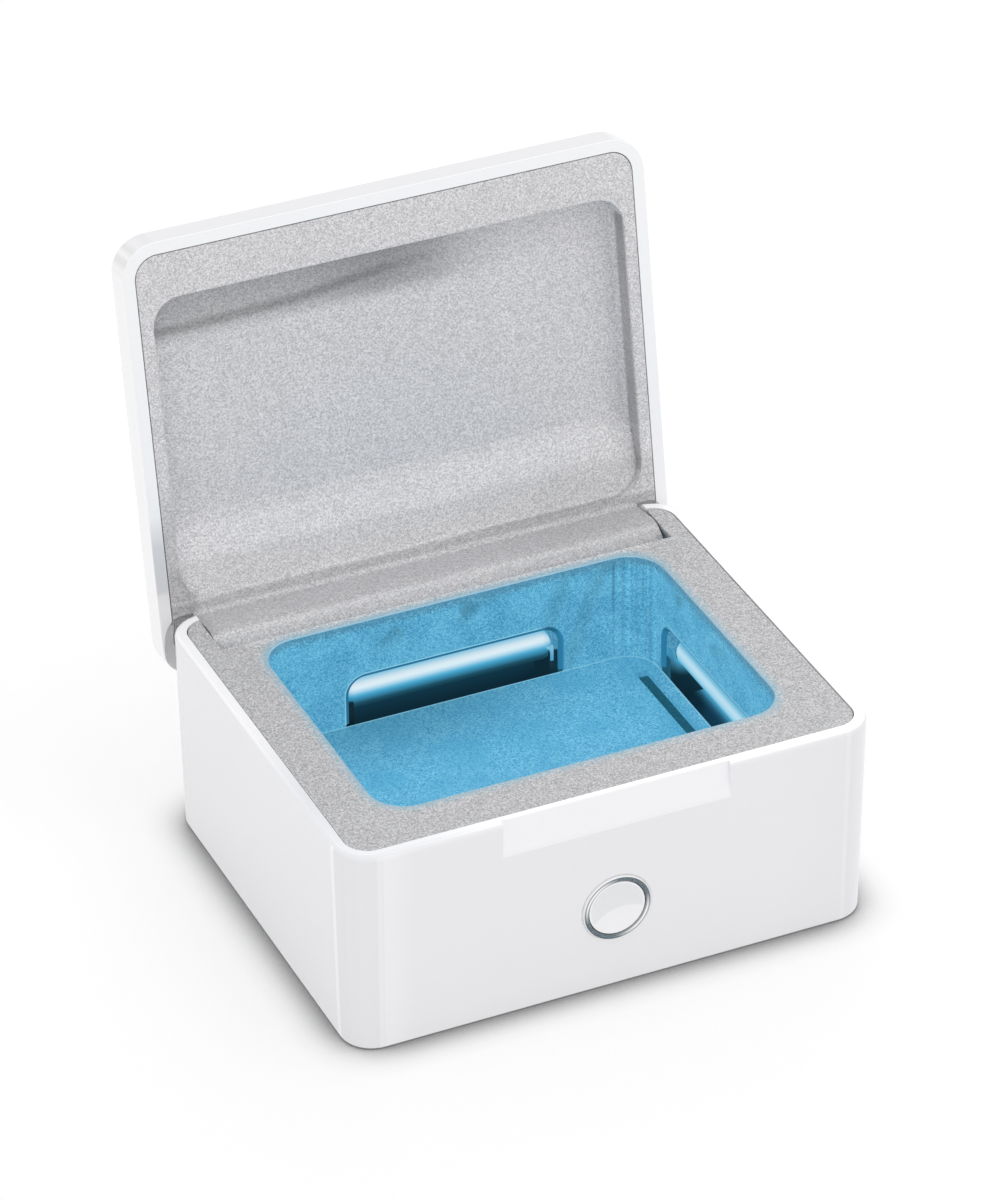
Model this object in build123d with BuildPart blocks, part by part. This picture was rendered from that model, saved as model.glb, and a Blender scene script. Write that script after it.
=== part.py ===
from build123d import *
import os
from math import cos, radians, sin, sqrt, tan

os.makedirs("parts", exist_ok=True)

# Hearing aid dryer, lid open. Millimetres, +Z up, front towards -Y.
# The origin is the centre of the base's underside.

# ---------------------------------------------------------------- driving dimensions

# Case
width = 122.0
depth = 100.8
base_height = 49.3
corner_radius = 8.0
draft_angle = 0.84
wall = 2.66
base_edge_radius = 0.8
ledge_width = 1.2
ledge_height = 2.0
shell_gap = 0.25
liner_sink = 0.25
liner_thickness = 2.2
cover_recess = 0.6
cover_thickness = 2.0
post_edge_radius = 1.2

# Chamber, its tray and its air vents
side_deck = 14.6
front_deck = 14.55
back_deck = 17.8
chamber_corner = 8.0
chamber_edge_radius = 0.5
chamber_floor = 15.5
tub_wall = 2.0
tray_depth = 26.2
tray_thickness = 1.5
tray_gap = 0.6
tray_slot_length = 52.0
tray_slot_width = 3.2
tray_slot_inset = 5.0
ledge_reach = 9.0
vent_slot_length = 9.0
vent_slot_width = 2.4
vent_count = 8

# Lamps
lamp_radius = 3.5
lamp_length = 50.4
lamp_depth = 22.0
lamp_set_back = 5.8
bay_half_length = 26.2
bay_top_depth = 14.0
bay_corner = 5.0
bay_wall = 1.2
bay_clearance = 0.7
holder_length = 2.6
holder_half_width = 4.2
reflector_thickness = 0.4
reflector_top_gap = 0.7
reflector_reach = 8.0
reflector_end_gap = 0.1
lamp_end_radius = 2.6
lamp_fit = 0.03

# Hinge
hinge_depth = 7.5
hinge_setback = 7.04
open_angle = 99.65
tongue_radius = 7.3
tongue_end_gap = 0.4
post_width = 7.3
trough_radius = 8.4
trough_wall = 1.6
trough_end_wall = 2.0
web_fillet = 1.0
relief_radius = 11.0
relief_corner = 5.0
pin_radius = 1.5
pin_grip = 5.0
pin_head_radius = 2.5
pin_head_height = 1.0
pin_running_gap = 0.05
pin_fit = 0.02
tongue_sink = 0.15

# Lid
lid_thickness = 9.0
lid_gap = 0.12
lid_edge_radius = 2.2
lid_top_wall = 1.8
lid_plate = 1.5
lid_ledge = 0.9
relief_back = 12.6
relief_cover = 1.6
recess_side_margin = 5.7
recess_front_margin = 13.0
recess_back_margin = 17.4
recess_ramp_length = 18.0
recess_depth = 5.0
recess_step = 0.35
recess_corner = 6.5
recess_floor_radius = 1.5
recess_wall = 1.3
magnet_radius = 3.0
magnet_thickness = 2.0
magnet_x = 30.0
magnet_front_margin = 7.7
magnet_ring_wall = 0.6
magnet_clearance = 0.1
sensor_radius = 1.1
sensor_length = 14.0

# Finger recess under the lid's front edge
finger_width = 52.2
finger_height = 8.55
finger_depth = 1.3

# Button
button_height = 20.1
ring_radius = 7.8
ring_band = 1.2
ring_proud = 0.45
ring_tube_wall = 0.6
ring_seat_depth = 0.35
ring_seat_bevel = 45.0
ring_edge_radius = 0.35
ring_fit = 0.08
button_travel = 0.5
cap_gap = 0.15
cap_sink = 0.3
cap_dish = 0.6
cap_rim = 0.5
cap_flange_thickness = 0.8
cap_flange_lip = 0.5
cap_stem_radius = 2.0
switch_size = 6.0
switch_depth = 3.4
plunger_radius = 1.6
plunger_reach = 0.9
plunger_insert = 1.4
plunger_gap = 0.05
plunger_end_gap = 0.1
button_board_width = 26.0
button_board_height = 16.0
button_board_gap = 0.45
peg_x = 10.6
peg_boss_radius = 2.4
peg_radius = 1.0
peg_gap = 0.05
peg_rise = 0.2

# Electronics under the chamber
board_thickness = 1.6
board_rise = 2.4
board_boss_gap = 2.5
board_fan_gap = 9.0
board_front_margin = 16.4
board_back_margin = 6.0
board_hole_inset = 3.5
board_hole_end_inset = 7.0
standoff_radius = 2.6
small_screw_radius = 0.9
small_head_radius = 1.8
small_head_height = 1.2
screw_fit = 0.02
screw_end_gap = 0.4
heater_length = 44.0
heater_back_margin = 8.6
heater_gap = 1.35
heater_thickness = 2.5
fuse_radius = 1.2
fuse_length = 10.0
transformer_length = 24.0
transformer_width = 9.0
transformer_height = 4.0
transformer_gap = 5.0
capacitor_radius = 3.15
capacitor_length = 11.0
capacitor_inset = 5.5
capacitor_gap = 1.85
chip_size = 7.0
chip_height = 1.2
chip_back_margin = 28.4
socket_width = 8.94
socket_height = 3.26
socket_length = 7.4
socket_wall = 0.35
socket_gap = 0.25
socket_sink = 0.4
tongue_blade_width = 6.7
tongue_blade_height = 0.7
tongue_blade_length = 4.5

# Fan
fan_size = 30.0
fan_thickness = 8.0
fan_side_margin = 16.4
fan_y = -2.0
fan_bore_radius = 14.0
fan_corner = 2.0
fan_hole_inset = 3.0
fan_screw_radius = 1.0
fan_screw_gap = 0.15
fan_screw_bite = 1.5
strut_count = 3
strut_width = 1.8
strut_thickness = 1.0
motor_base_radius = 7.0
bearing_radius = 2.2
bearing_top = 5.5
shaft_radius = 0.75
shaft_gap = 0.03
hub_radius = 6.5
hub_wall = 0.8
rotor_gap = 0.9
blade_count = 7
blade_tip_gap = 0.6
blade_thickness = 0.8
blade_pitch_angle = 40.0
blade_chord = 5.6

# Cover fasteners and feet
boss_radius = 3.5
front_boss_side_margin = 14.0
front_boss_margin = 8.9
rear_boss_side_margin = 21.0
rear_boss_margin = 9.4
screw_radius = 1.2
screw_length = 10.0
screw_head_radius = 2.6
screw_head_height = 1.8
screw_head_gap = 0.3
screw_hole_gap = 0.3
foot_radius = 5.0
foot_side_margin = 15.0
foot_end_margin = 20.4
foot_recess = 0.8
foot_gap = 0.2
intake_slot_length = 22.0
intake_slot_width = 1.8
intake_slot_gap = 1.6
intake_slot_count = 7

# ---------------------------------------------------------------- derived places

slope = tan(radians(draft_angle))
side = width / 2
rear = depth / 2
hinge_y = rear - hinge_setback
hinge_z = base_height - hinge_depth
notch_half = side - post_width
tongue_half_length = notch_half - tongue_end_gap
liner_top = base_height - liner_sink
liner_bottom = liner_top - liner_thickness
cover_top = cover_recess + cover_thickness
boss_bottom = cover_top + ledge_height
floor_bottom = chamber_floor - tub_wall
tray_top = base_height - tray_depth
tray_bottom = tray_top - tray_thickness
chamber_side = side - side_deck
chamber_width = 2 * chamber_side
chamber_front = front_deck - rear
chamber_back = rear - back_deck
chamber_y = (chamber_front + chamber_back) / 2
chamber_length = chamber_back - chamber_front
tray_slot_x = chamber_side - tray_slot_inset
lid_rim = hinge_depth + lid_gap
lid_top = lid_rim + lid_thickness
recess_floor = lid_rim + recess_depth
recess_half_width = side - recess_side_margin
recess_front = recess_front_margin - rear
recess_back = rear - recess_back_margin
recess_ramp_start = recess_back - recess_ramp_length
magnet_y = magnet_front_margin - rear

# Under the chamber's floor the fan stands at the right, and the board between it and a boss
fan_x = chamber_side - fan_side_margin
front_boss_x = side - front_boss_side_margin
front_boss_y = front_boss_margin - rear
rear_boss_x = side - rear_boss_side_margin
rear_boss_y = rear - rear_boss_margin
foot_x = side - foot_side_margin
foot_y = rear - foot_end_margin
board_left = -rear_boss_x + boss_radius + board_boss_gap
board_right = fan_x - fan_size / 2 - board_fan_gap
board_front = board_front_margin - rear
board_back = rear - board_back_margin
board_bottom = cover_top + board_rise
board_top = board_bottom + board_thickness
board_x = (board_left + board_right) / 2
board_y = (board_front + board_back) / 2
capacitor_y = board_front + capacitor_inset
transformer_y = (
    capacitor_y + capacitor_radius + capacitor_gap + transformer_width + transformer_gap / 2
)
chip_y = board_back - chip_back_margin
heater_front = capacitor_y + capacitor_radius + heater_gap
heater_back = chamber_back - heater_back_margin

# Lamps and their bays, which reach into the wall from the chamber's face
lamp_height = base_height - lamp_depth
bay_top = base_height - bay_top_depth
bay_depth = lamp_set_back + lamp_radius + bay_clearance
reflector_top = hinge_z - trough_radius - trough_wall - reflector_top_gap

# Button stack, from the front face inwards
face_y = -rear + (base_height - button_height) * slope
ring_seat_y = face_y + ring_seat_depth
ring_front_y = face_y - ring_proud
tube_radius = ring_radius - ring_band + ring_tube_wall
bore_radius = ring_radius - ring_band
tub_front_y = chamber_front - tub_wall
button_board_back_y = tub_front_y - button_board_gap
button_board_y = button_board_back_y - board_thickness
switch_front_y = button_board_y - switch_depth
plunger_front_y = switch_front_y - plunger_reach
flange_back_y = plunger_front_y - button_travel
flange_front_y = flange_back_y - cap_flange_thickness
ring_back_y = flange_front_y - cap_gap

# Each lamp bay has a plane with +X along the lamp, +Y into the wall and +Z up
back_bay = Plane(origin=(0, chamber_back, 0), x_dir=(1, 0, 0), z_dir=(0, 0, 1))
side_bay = Plane(origin=(chamber_side, chamber_y, 0), x_dir=(0, -1, 0), z_dir=(0, 0, 1))
bays = {"back": back_bay, "side": side_bay}

# Planes of the lid: the first lies in the hinge axis, with the lid's own +Z as its normal
turn = radians(open_angle)
lid_base = Plane(
    origin=(0, hinge_y, hinge_z), x_dir=(1, 0, 0), z_dir=(0, sin(turn), cos(turn))
)
lid_section = Plane(
    origin=(0, hinge_y, hinge_z), x_dir=(0, cos(turn), -sin(turn)), z_dir=(1, 0, 0)
)
hinge_section = Plane(origin=(0, hinge_y, hinge_z), x_dir=(0, 1, 0), z_dir=(1, 0, 0))
hinge_elevation = Plane(origin=(0, hinge_y, hinge_z), x_dir=(1, 0, 0), z_dir=(0, -1, 0))
lid_up = Axis((0, hinge_y, hinge_z), (0, sin(turn), cos(turn)))
hinge_axis = Axis((0, hinge_y, hinge_z), (1, 0, 0))

# Places of what repeats
corners = [(-1, -1), (1, -1), (-1, 1), (1, 1)]
boss_places = [
    (hand * (rear_boss_x if end > 0 else front_boss_x), rear_boss_y if end > 0 else front_boss_y)
    for hand, end in corners
]
foot_places = [(hand * foot_x, end * foot_y) for hand, end in corners]
standoff_places = [
    (
        board_x + hand * (board_right - board_x - board_hole_inset),
        board_y + end * (board_back - board_y - board_hole_end_inset),
    )
    for hand, end in corners
]
fan_hole_reach = fan_size / 2 - fan_hole_inset
fan_hole_places = [
    (fan_x + hand * fan_hole_reach, fan_y + end * fan_hole_reach) for hand, end in corners
]


# ---------------------------------------------------------------- shared shapes


def case_outline(height, inset):
    """The case's outline at a height, moved in from its outside."""
    shrink = inset + (base_height - height) * slope
    RectangleRounded(width - 2 * shrink, depth - 2 * shrink, corner_radius - shrink)


def case_block(low, high, inset, mode=Mode.ADD):
    """A drafted block of the case between two heights."""
    sections = []
    for height in (low, high):
        with BuildSketch(Plane.XY.offset(height)) as section:
            case_outline(height, inset)
        sections.append(section.sketch)
    loft(sections, ruled=True, mode=mode)


def lid_block(low, high, inset, mode=Mode.ADD):
    """A drafted block of the lid between two heights over the hinge axis."""
    sections = []
    for height in (low, high):
        shrink = inset + (height - lid_rim) * slope
        with BuildSketch(lid_base.offset(height)) as section:
            with Locations((0, -hinge_y)):
                RectangleRounded(
                    width - 2 * shrink, depth - 2 * shrink, corner_radius - shrink
                )
        sections.append(section.sketch)
    loft(sections, ruled=True, mode=mode)


def hinge_space(reach):
    """Cut the trough that the lid's tongue turns in, open to the rear and the top."""
    with BuildSketch(hinge_section) as space:
        with BuildLine():
            Line((-trough_radius, 0), (-trough_radius, base_height))
            Line((-trough_radius, base_height), (reach, base_height))
            Line((reach, base_height), (reach, -trough_radius))
            Line((reach, -trough_radius), (0, -trough_radius))
            CenterArc((0, 0), trough_radius, 180, 90)
        make_face()
    extrude(space.sketch, amount=notch_half, both=True, mode=Mode.SUBTRACT)


def corner_relief():
    """Cut the round reliefs that let the lid's rear corners turn past the base's posts."""
    for hand in (-1, 1):
        with BuildSketch(hinge_elevation) as relief:
            with BuildLine():
                start = hand * tongue_half_length
                bend = hand * (side - relief_corner)
                edge = hand * side
                Line((start, 0), (start, relief_radius))
                Line((start, relief_radius), (bend, relief_radius))
                RadiusArc(
                    (bend, relief_radius),
                    (edge, relief_radius - relief_corner),
                    hand * relief_corner,
                )
                Line((edge, relief_radius - relief_corner), (edge, 0))
                Line((edge, 0), (start, 0))
            make_face()
        revolve(relief.sketch, axis=hinge_axis, mode=Mode.SUBTRACT)


def bay_section(bay):
    """The plane square to a bay's lamp: +X into the wall, +Y up."""
    return Plane(origin=bay.origin, x_dir=bay.y_dir, z_dir=bay.x_dir)


def bay_elevation(bay):
    """The plane of a bay's wall, seen from the chamber: +X along the lamp, +Y up."""
    return Plane(origin=bay.origin, x_dir=bay.x_dir, z_dir=-bay.y_dir)


# ---------------------------------------------------------------- base shell

with BuildPart() as base_shell:
    case_block(0, base_height, 0)
    fillet(base_shell.faces().sort_by(Axis.Z)[0].edges(), base_edge_radius)
    # the cover's seat, the room inside, the liner's seat and the rim
    case_block(0, cover_top, wall, Mode.SUBTRACT)
    case_block(cover_top, boss_bottom, wall + ledge_width, Mode.SUBTRACT)
    case_block(boss_bottom, liner_bottom - ledge_height, wall, Mode.SUBTRACT)
    case_block(liner_bottom - ledge_height, liner_bottom, wall + ledge_width, Mode.SUBTRACT)
    case_block(liner_bottom, base_height, wall, Mode.SUBTRACT)
    # no ledge beside the hinge trough
    with BuildSketch(Plane.XY.offset(liner_bottom - ledge_height)):
        case_outline(liner_bottom - ledge_height, wall)
        with Locations((0, chamber_back)):
            Rectangle(width, depth, align=(Align.CENTER, Align.MAX), mode=Mode.SUBTRACT)
    extrude(amount=ledge_height, mode=Mode.SUBTRACT)
    # the rear corner posts, softened where the lid turns over them
    hinge_space(depth)
    rim_edges = base_shell.faces().sort_by(Axis.Z)[-1].outer_wire().edges()
    fillet(
        rim_edges.filter_by(lambda edge: edge.center().Y > rear - corner_radius)
        .filter_by(lambda edge: edge.length > post_edge_radius)
        .filter_by(lambda edge: edge.geom_type == GeomType.CIRCLE)
        .filter_by(lambda edge: edge.radius > corner_radius - wall / 2),
        post_edge_radius,
    )
    # finger recess, deepest at the rim
    with BuildSketch(Plane.YZ):
        Polygon(
            (-rear, base_height - finger_height),
            (-rear + finger_depth, base_height),
            (-rear - finger_depth, base_height),
            (-rear - finger_depth, base_height - finger_height),
            align=None,
        )
    extrude(amount=finger_width / 2, both=True, mode=Mode.SUBTRACT)
    # pegged bosses for the button's board
    with BuildSketch(Plane.XZ.offset(-button_board_y)):
        with Locations((-peg_x, button_height), (peg_x, button_height)):
            Circle(peg_boss_radius)
    extrude(amount=button_board_y - face_y - wall / 2)
    with BuildSketch(Plane.XZ.offset(-button_board_y)):
        with Locations((-peg_x, button_height), (peg_x, button_height)):
            Circle(peg_radius)
    extrude(amount=-board_thickness - peg_rise)
    # bevelled seat and hole for the button's ring
    with BuildSketch(Plane.XZ.offset(-ring_seat_y)):
        with Locations((0, button_height)):
            Circle(ring_radius + ring_fit)
    extrude(amount=ring_seat_depth + wall, taper=-ring_seat_bevel, mode=Mode.SUBTRACT)
    with BuildSketch(Plane.XZ.offset(-ring_seat_y)):
        with Locations((0, button_height)):
            Circle(tube_radius + ring_fit)
    extrude(amount=-2 * wall, mode=Mode.SUBTRACT)
    # hole for the power socket
    with BuildSketch(Plane.XZ.offset(-rear)):
        with Locations((board_x, board_top + socket_height / 2)):
            SlotOverall(socket_width + 2 * socket_gap, socket_height + 2 * socket_gap)
    extrude(amount=2 * wall, mode=Mode.SUBTRACT)
base_shell.part.label = "base_shell"
export_step(base_shell.part, "parts/base_shell.step")


# ---------------------------------------------------------------- base liner

with BuildPart() as base_liner:
    case_block(liner_bottom, liner_top, wall + shell_gap)
    # tub
    with BuildSketch(Plane.XY.offset(floor_bottom)):
        with Locations((0, chamber_y)):
            RectangleRounded(
                chamber_width + 2 * tub_wall,
                chamber_length + 2 * tub_wall,
                chamber_corner + tub_wall,
            )
    extrude(amount=liner_bottom - floor_bottom)
    # lamp bays
    for bay in bays.values():
        with BuildSketch(bay.offset(floor_bottom)):
            Rectangle(
                2 * (bay_half_length + bay_wall),
                bay_depth + bay_wall,
                align=(Align.CENTER, Align.MIN),
            )
        extrude(amount=bay_top + bay_wall - floor_bottom)
    # the chamber and the bays' rooms, each open to the chamber through its slot
    with BuildSketch(Plane.XY.offset(chamber_floor)):
        with Locations((0, chamber_y)):
            RectangleRounded(chamber_width, chamber_length, chamber_corner)
    extrude(amount=base_height, mode=Mode.SUBTRACT)
    for bay in bays.values():
        with BuildSketch(bay_elevation(bay)) as slot:
            with Locations((0, chamber_floor)):
                Rectangle(
                    2 * bay_half_length,
                    bay_top - chamber_floor,
                    align=(Align.CENTER, Align.MIN),
                )
            fillet(slot.vertices().group_by(Axis.Y)[-1], bay_corner)
        extrude(amount=-bay_depth, mode=Mode.SUBTRACT)
    # ledges under the tray's corners
    with BuildSketch(Plane.XY.offset(chamber_floor)):
        with Locations((0, chamber_y)):
            with GridLocations(chamber_width, chamber_length, 2, 2):
                Circle(ledge_reach)
            RectangleRounded(
                chamber_width, chamber_length, chamber_corner, mode=Mode.INTERSECT
            )
    extrude(amount=tray_bottom - chamber_floor)
    # bosses for the cover's screws
    with BuildSketch(Plane.XY.offset(boss_bottom)):
        with Locations(*boss_places):
            Circle(boss_radius)
    extrude(amount=hinge_z - trough_radius - boss_bottom)
    with BuildSketch(Plane.XY.offset(hinge_z - trough_radius)):
        with Locations(*boss_places[:2]):
            Circle(boss_radius)
    extrude(amount=liner_bottom - hinge_z + trough_radius)
    # hinge trough
    with BuildSketch(hinge_section):
        with BuildLine():
            shell = trough_radius + trough_wall
            Line((-shell, 0), (-shell, liner_top - hinge_z))
            Line((-shell, liner_top - hinge_z), (rear, liner_top - hinge_z))
            Line((rear, liner_top - hinge_z), (rear, -shell))
            Line((rear, -shell), (0, -shell))
            CenterArc((0, 0), shell, 180, 90)
        make_face()
    extrude(amount=notch_half + trough_end_wall, both=True)
    hinge_space(depth)
    case_block(0, base_height, wall + shell_gap, Mode.INTERSECT)
    # pin holes, pilot holes and air vents
    with BuildSketch(hinge_section):
        Circle(pin_radius + pin_fit)
    extrude(amount=notch_half + 2 * trough_end_wall, both=True, mode=Mode.SUBTRACT)
    with BuildSketch(Plane.XY.offset(boss_bottom)):
        with Locations(*boss_places):
            Circle(screw_radius + screw_fit)
    extrude(amount=screw_length, mode=Mode.SUBTRACT)
    with BuildSketch(Plane.XY.offset(floor_bottom)):
        with Locations(*fan_hole_places):
            Circle(fan_screw_radius + screw_fit)
    extrude(amount=fan_screw_bite, mode=Mode.SUBTRACT)
    with BuildSketch(Plane.XY.offset(floor_bottom)):
        with Locations((fan_x, fan_y)):
            with PolarLocations((hub_radius + fan_bore_radius) / 2, vent_count):
                SlotOverall(vent_slot_length, vent_slot_width)
    extrude(amount=tub_wall, mode=Mode.SUBTRACT)
    # softened mouth of the chamber
    mouth = base_liner.edges().group_by(Axis.Z)[-1]
    fillet(
        mouth.filter_by(lambda edge: abs(edge.center().X) < chamber_side + pin_fit)
        .filter_by(lambda edge: abs(edge.center().Y - chamber_y) < chamber_length / 2 + pin_fit),
        chamber_edge_radius,
    )
base_liner.part.label = "base_liner"
export_step(base_liner.part, "parts/base_liner.step")


# ---------------------------------------------------------------- bottom cover, its screws and feet

with BuildPart() as bottom_cover:
    case_block(cover_recess, cover_top, wall + shell_gap)
    with BuildSketch(Plane.XY.offset(cover_top)):
        with Locations(*boss_places):
            Circle(boss_radius)
    extrude(amount=boss_bottom - cover_top)
    with BuildSketch(Plane.XY.offset(cover_top)):
        with Locations(*standoff_places):
            Circle(standoff_radius)
    extrude(amount=board_rise)
    # counterbored holes for the cover's screws
    with Locations(Plane.XY.offset(cover_recess)):
        with Locations(*boss_places):
            with Locations(Rotation(180, 0, 0)):
                CounterBoreHole(
                    screw_radius + screw_hole_gap,
                    screw_head_radius + screw_hole_gap,
                    screw_head_height + screw_head_gap,
                    boss_bottom,
                )
    with BuildSketch(Plane.XY.offset(cover_top)):
        with Locations(*standoff_places):
            Circle(small_screw_radius + screw_fit)
    extrude(amount=board_rise, mode=Mode.SUBTRACT)
    with BuildSketch(Plane.XY.offset(cover_recess)):
        with Locations(*foot_places):
            Circle(foot_radius + foot_gap)
    extrude(amount=foot_recess, mode=Mode.SUBTRACT)
    # air intake below the fan
    with BuildSketch(Plane.XY.offset(cover_recess)):
        with Locations((fan_x, fan_y)):
            with GridLocations(intake_slot_width + intake_slot_gap, 0, intake_slot_count, 1):
                SlotOverall(intake_slot_length, intake_slot_width, rotation=90)
    extrude(amount=cover_thickness, mode=Mode.SUBTRACT)
bottom_cover.part.label = "bottom_cover"
export_step(bottom_cover.part, "parts/bottom_cover.step")

screw_seat = cover_recess + screw_head_height + screw_head_gap
with BuildPart() as cover_screws:
    with BuildSketch(Plane.XY.offset(screw_seat)):
        with Locations(*boss_places):
            Circle(screw_head_radius)
    extrude(amount=-screw_head_height)
    with BuildSketch(Plane.XY.offset(screw_seat)):
        with Locations(*boss_places):
            Circle(screw_radius)
    extrude(amount=screw_length)
cover_screws.part.label = "cover_screws"
export_step(cover_screws.part, "parts/cover_screws.step")

with BuildPart() as rubber_feet:
    with BuildSketch(Plane.XY):
        with Locations(*foot_places):
            Circle(foot_radius)
    extrude(amount=cover_recess + foot_recess)
rubber_feet.part.label = "rubber_feet"
export_step(rubber_feet.part, "parts/rubber_feet.step")


# ---------------------------------------------------------------- clear tray

with BuildPart() as tray:
    with BuildSketch(Plane.XY.offset(tray_bottom)):
        with Locations((0, chamber_y)):
            RectangleRounded(
                chamber_width - 2 * tray_gap,
                chamber_length - 2 * tray_gap,
                chamber_corner - tray_gap,
            )
        with Locations((tray_slot_x, chamber_y)):
            Rectangle(tray_slot_width, tray_slot_length, mode=Mode.SUBTRACT)
    extrude(amount=tray_thickness)
tray.part.label = "tray"
export_step(tray.part, "parts/tray.step")


# ---------------------------------------------------------------- lamps, their holders and reflectors


def make_lamp(bay):
    """A glass lamp tube with rounded ends."""
    with BuildPart() as lamp:
        with BuildSketch(bay_section(bay)):
            with Locations((lamp_set_back, lamp_height)):
                Circle(lamp_radius)
        extrude(amount=lamp_length / 2, both=True)
        fillet(lamp.edges().filter_by(GeomType.CIRCLE), lamp_end_radius)
    return lamp.part


def make_holders(bay):
    """The two saddles that carry a lamp's ends, standing on the bay's floor."""
    with BuildPart() as holders:
        for hand in (-1, 1):
            with BuildSketch(bay_section(bay).offset(hand * bay_half_length)):
                with Locations((lamp_set_back, chamber_floor)):
                    Rectangle(
                        2 * holder_half_width,
                        lamp_height - chamber_floor,
                        align=(Align.CENTER, Align.MIN),
                    )
                with Locations((lamp_set_back, lamp_height)):
                    Circle(lamp_radius + lamp_fit, mode=Mode.SUBTRACT)
            extrude(amount=-hand * holder_length)
    return holders.part


def make_reflector(bay):
    """A bent sheet along the bay's back and floor, between the lamp's holders."""
    back = bay_depth
    front = bay_depth - reflector_reach
    with BuildPart() as reflector:
        with BuildSketch(bay_section(bay)):
            Polygon(
                (back, chamber_floor),
                (back, reflector_top),
                (back - reflector_thickness, reflector_top),
                (back - reflector_thickness, chamber_floor + reflector_thickness),
                (front, chamber_floor + reflector_thickness),
                (front, chamber_floor),
                align=None,
            )
        extrude(amount=bay_half_length - holder_length - reflector_end_gap, both=True)
    return reflector.part


for bay_name, bay in bays.items():
    lamp = make_lamp(bay)
    lamp.label = f"{bay_name}_lamp"
    export_step(lamp, f"parts/{lamp.label}.step")
    holders = make_holders(bay)
    holders.label = f"{bay_name}_lamp_holders"
    export_step(holders, f"parts/{holders.label}.step")
    reflector = make_reflector(bay)
    reflector.label = f"{bay_name}_reflector"
    export_step(reflector, f"parts/{reflector.label}.step")


# ---------------------------------------------------------------- heater and fan

with BuildPart() as heater_plate:
    with BuildSketch(Plane.XY.offset(floor_bottom)):
        with Locations((board_x, (heater_front + heater_back) / 2)):
            Rectangle(heater_length, heater_back - heater_front)
    extrude(amount=-heater_thickness)
heater_plate.part.label = "heater_plate"
export_step(heater_plate.part, "parts/heater_plate.step")

fan_bottom = floor_bottom - fan_thickness
with BuildPart() as fan_housing:
    with BuildSketch(Plane.XY.offset(fan_bottom)):
        with Locations((fan_x, fan_y)):
            RectangleRounded(fan_size, fan_size, fan_corner)
            Circle(fan_bore_radius, mode=Mode.SUBTRACT)
        with Locations(*fan_hole_places):
            Circle(fan_screw_radius + fan_screw_gap, mode=Mode.SUBTRACT)
    extrude(amount=fan_thickness)
    # motor base on its struts
    with BuildSketch(Plane.XY.offset(fan_bottom)):
        with Locations((fan_x, fan_y)):
            Circle(motor_base_radius)
            with PolarLocations(0, strut_count, start_angle=90):
                Rectangle(fan_bore_radius + strut_thickness, strut_width, align=(Align.MIN, Align.CENTER))
    extrude(amount=strut_thickness)
    with BuildSketch(Plane.XY.offset(fan_bottom)):
        with Locations((fan_x, fan_y)):
            Circle(bearing_radius)
    extrude(amount=bearing_top)
    with BuildSketch(Plane.XY.offset(fan_bottom + strut_thickness)):
        with Locations((fan_x, fan_y)):
            Circle(shaft_radius + shaft_gap)
    extrude(amount=bearing_top, mode=Mode.SUBTRACT)
fan_housing.part.label = "fan_housing"
export_step(fan_housing.part, "parts/fan_housing.step")

with BuildPart() as fan_screws:
    with BuildSketch(Plane.XY.offset(fan_bottom)):
        with Locations(*fan_hole_places):
            Circle(small_head_radius)
    extrude(amount=-small_head_height)
    with BuildSketch(Plane.XY.offset(fan_bottom)):
        with Locations(*fan_hole_places):
            Circle(fan_screw_radius)
    extrude(amount=fan_thickness + fan_screw_bite - screw_end_gap / 2)
fan_screws.part.label = "fan_screws"
export_step(fan_screws.part, "parts/fan_screws.step")

hub_bottom = fan_bottom + strut_thickness + rotor_gap
hub_top = floor_bottom - rotor_gap
blade_reach = fan_bore_radius - blade_tip_gap - hub_radius + hub_wall / 2
blade_planes = []
for blade in range(blade_count):
    heading = radians(blade * 360 / blade_count)
    outwards = Vector(cos(heading), sin(heading), 0)
    root = Vector(fan_x, fan_y, (hub_bottom + hub_top) / 2) + outwards * (hub_radius - hub_wall / 2)
    blade_planes.append(Plane(origin=root, x_dir=(-sin(heading), cos(heading), 0), z_dir=outwards))
with BuildPart() as fan_rotor:
    with BuildSketch(Plane.XY.offset(hub_bottom)):
        with Locations((fan_x, fan_y)):
            Circle(hub_radius)
            Circle(hub_radius - hub_wall, mode=Mode.SUBTRACT)
    extrude(amount=hub_top - hub_bottom)
    with BuildSketch(Plane.XY.offset(hub_top)):
        with Locations((fan_x, fan_y)):
            Circle(hub_radius)
    extrude(amount=-hub_wall)
    with BuildSketch(Plane.XY.offset(hub_top)):
        with Locations((fan_x, fan_y)):
            Circle(shaft_radius)
    extrude(amount=hub_bottom - hub_top)
    with BuildSketch(*blade_planes):
        Rectangle(blade_chord, blade_thickness, rotation=blade_pitch_angle)
    extrude(amount=blade_reach)
fan_rotor.part.label = "fan_rotor"
export_step(fan_rotor.part, "parts/fan_rotor.step")

with BuildPart() as thermal_fuse:
    with BuildSketch(Plane.YZ.offset(board_x - fuse_length / 2)):
        with Locations((heater_back - 2 * fuse_radius, floor_bottom - heater_thickness - fuse_radius)):
            Circle(fuse_radius)
    extrude(amount=fuse_length)
thermal_fuse.part.label = "thermal_fuse"
export_step(thermal_fuse.part, "parts/thermal_fuse.step")


# ---------------------------------------------------------------- main board and what it carries

with BuildPart() as main_board:
    with BuildSketch(Plane.XY.offset(board_bottom)):
        with Locations((board_x, board_y)):
            Rectangle(board_right - board_left, board_back - board_front)
        with Locations(*standoff_places):
            Circle(small_screw_radius + screw_hole_gap, mode=Mode.SUBTRACT)
    extrude(amount=board_thickness)
main_board.part.label = "main_board"
export_step(main_board.part, "parts/main_board.step")

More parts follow.
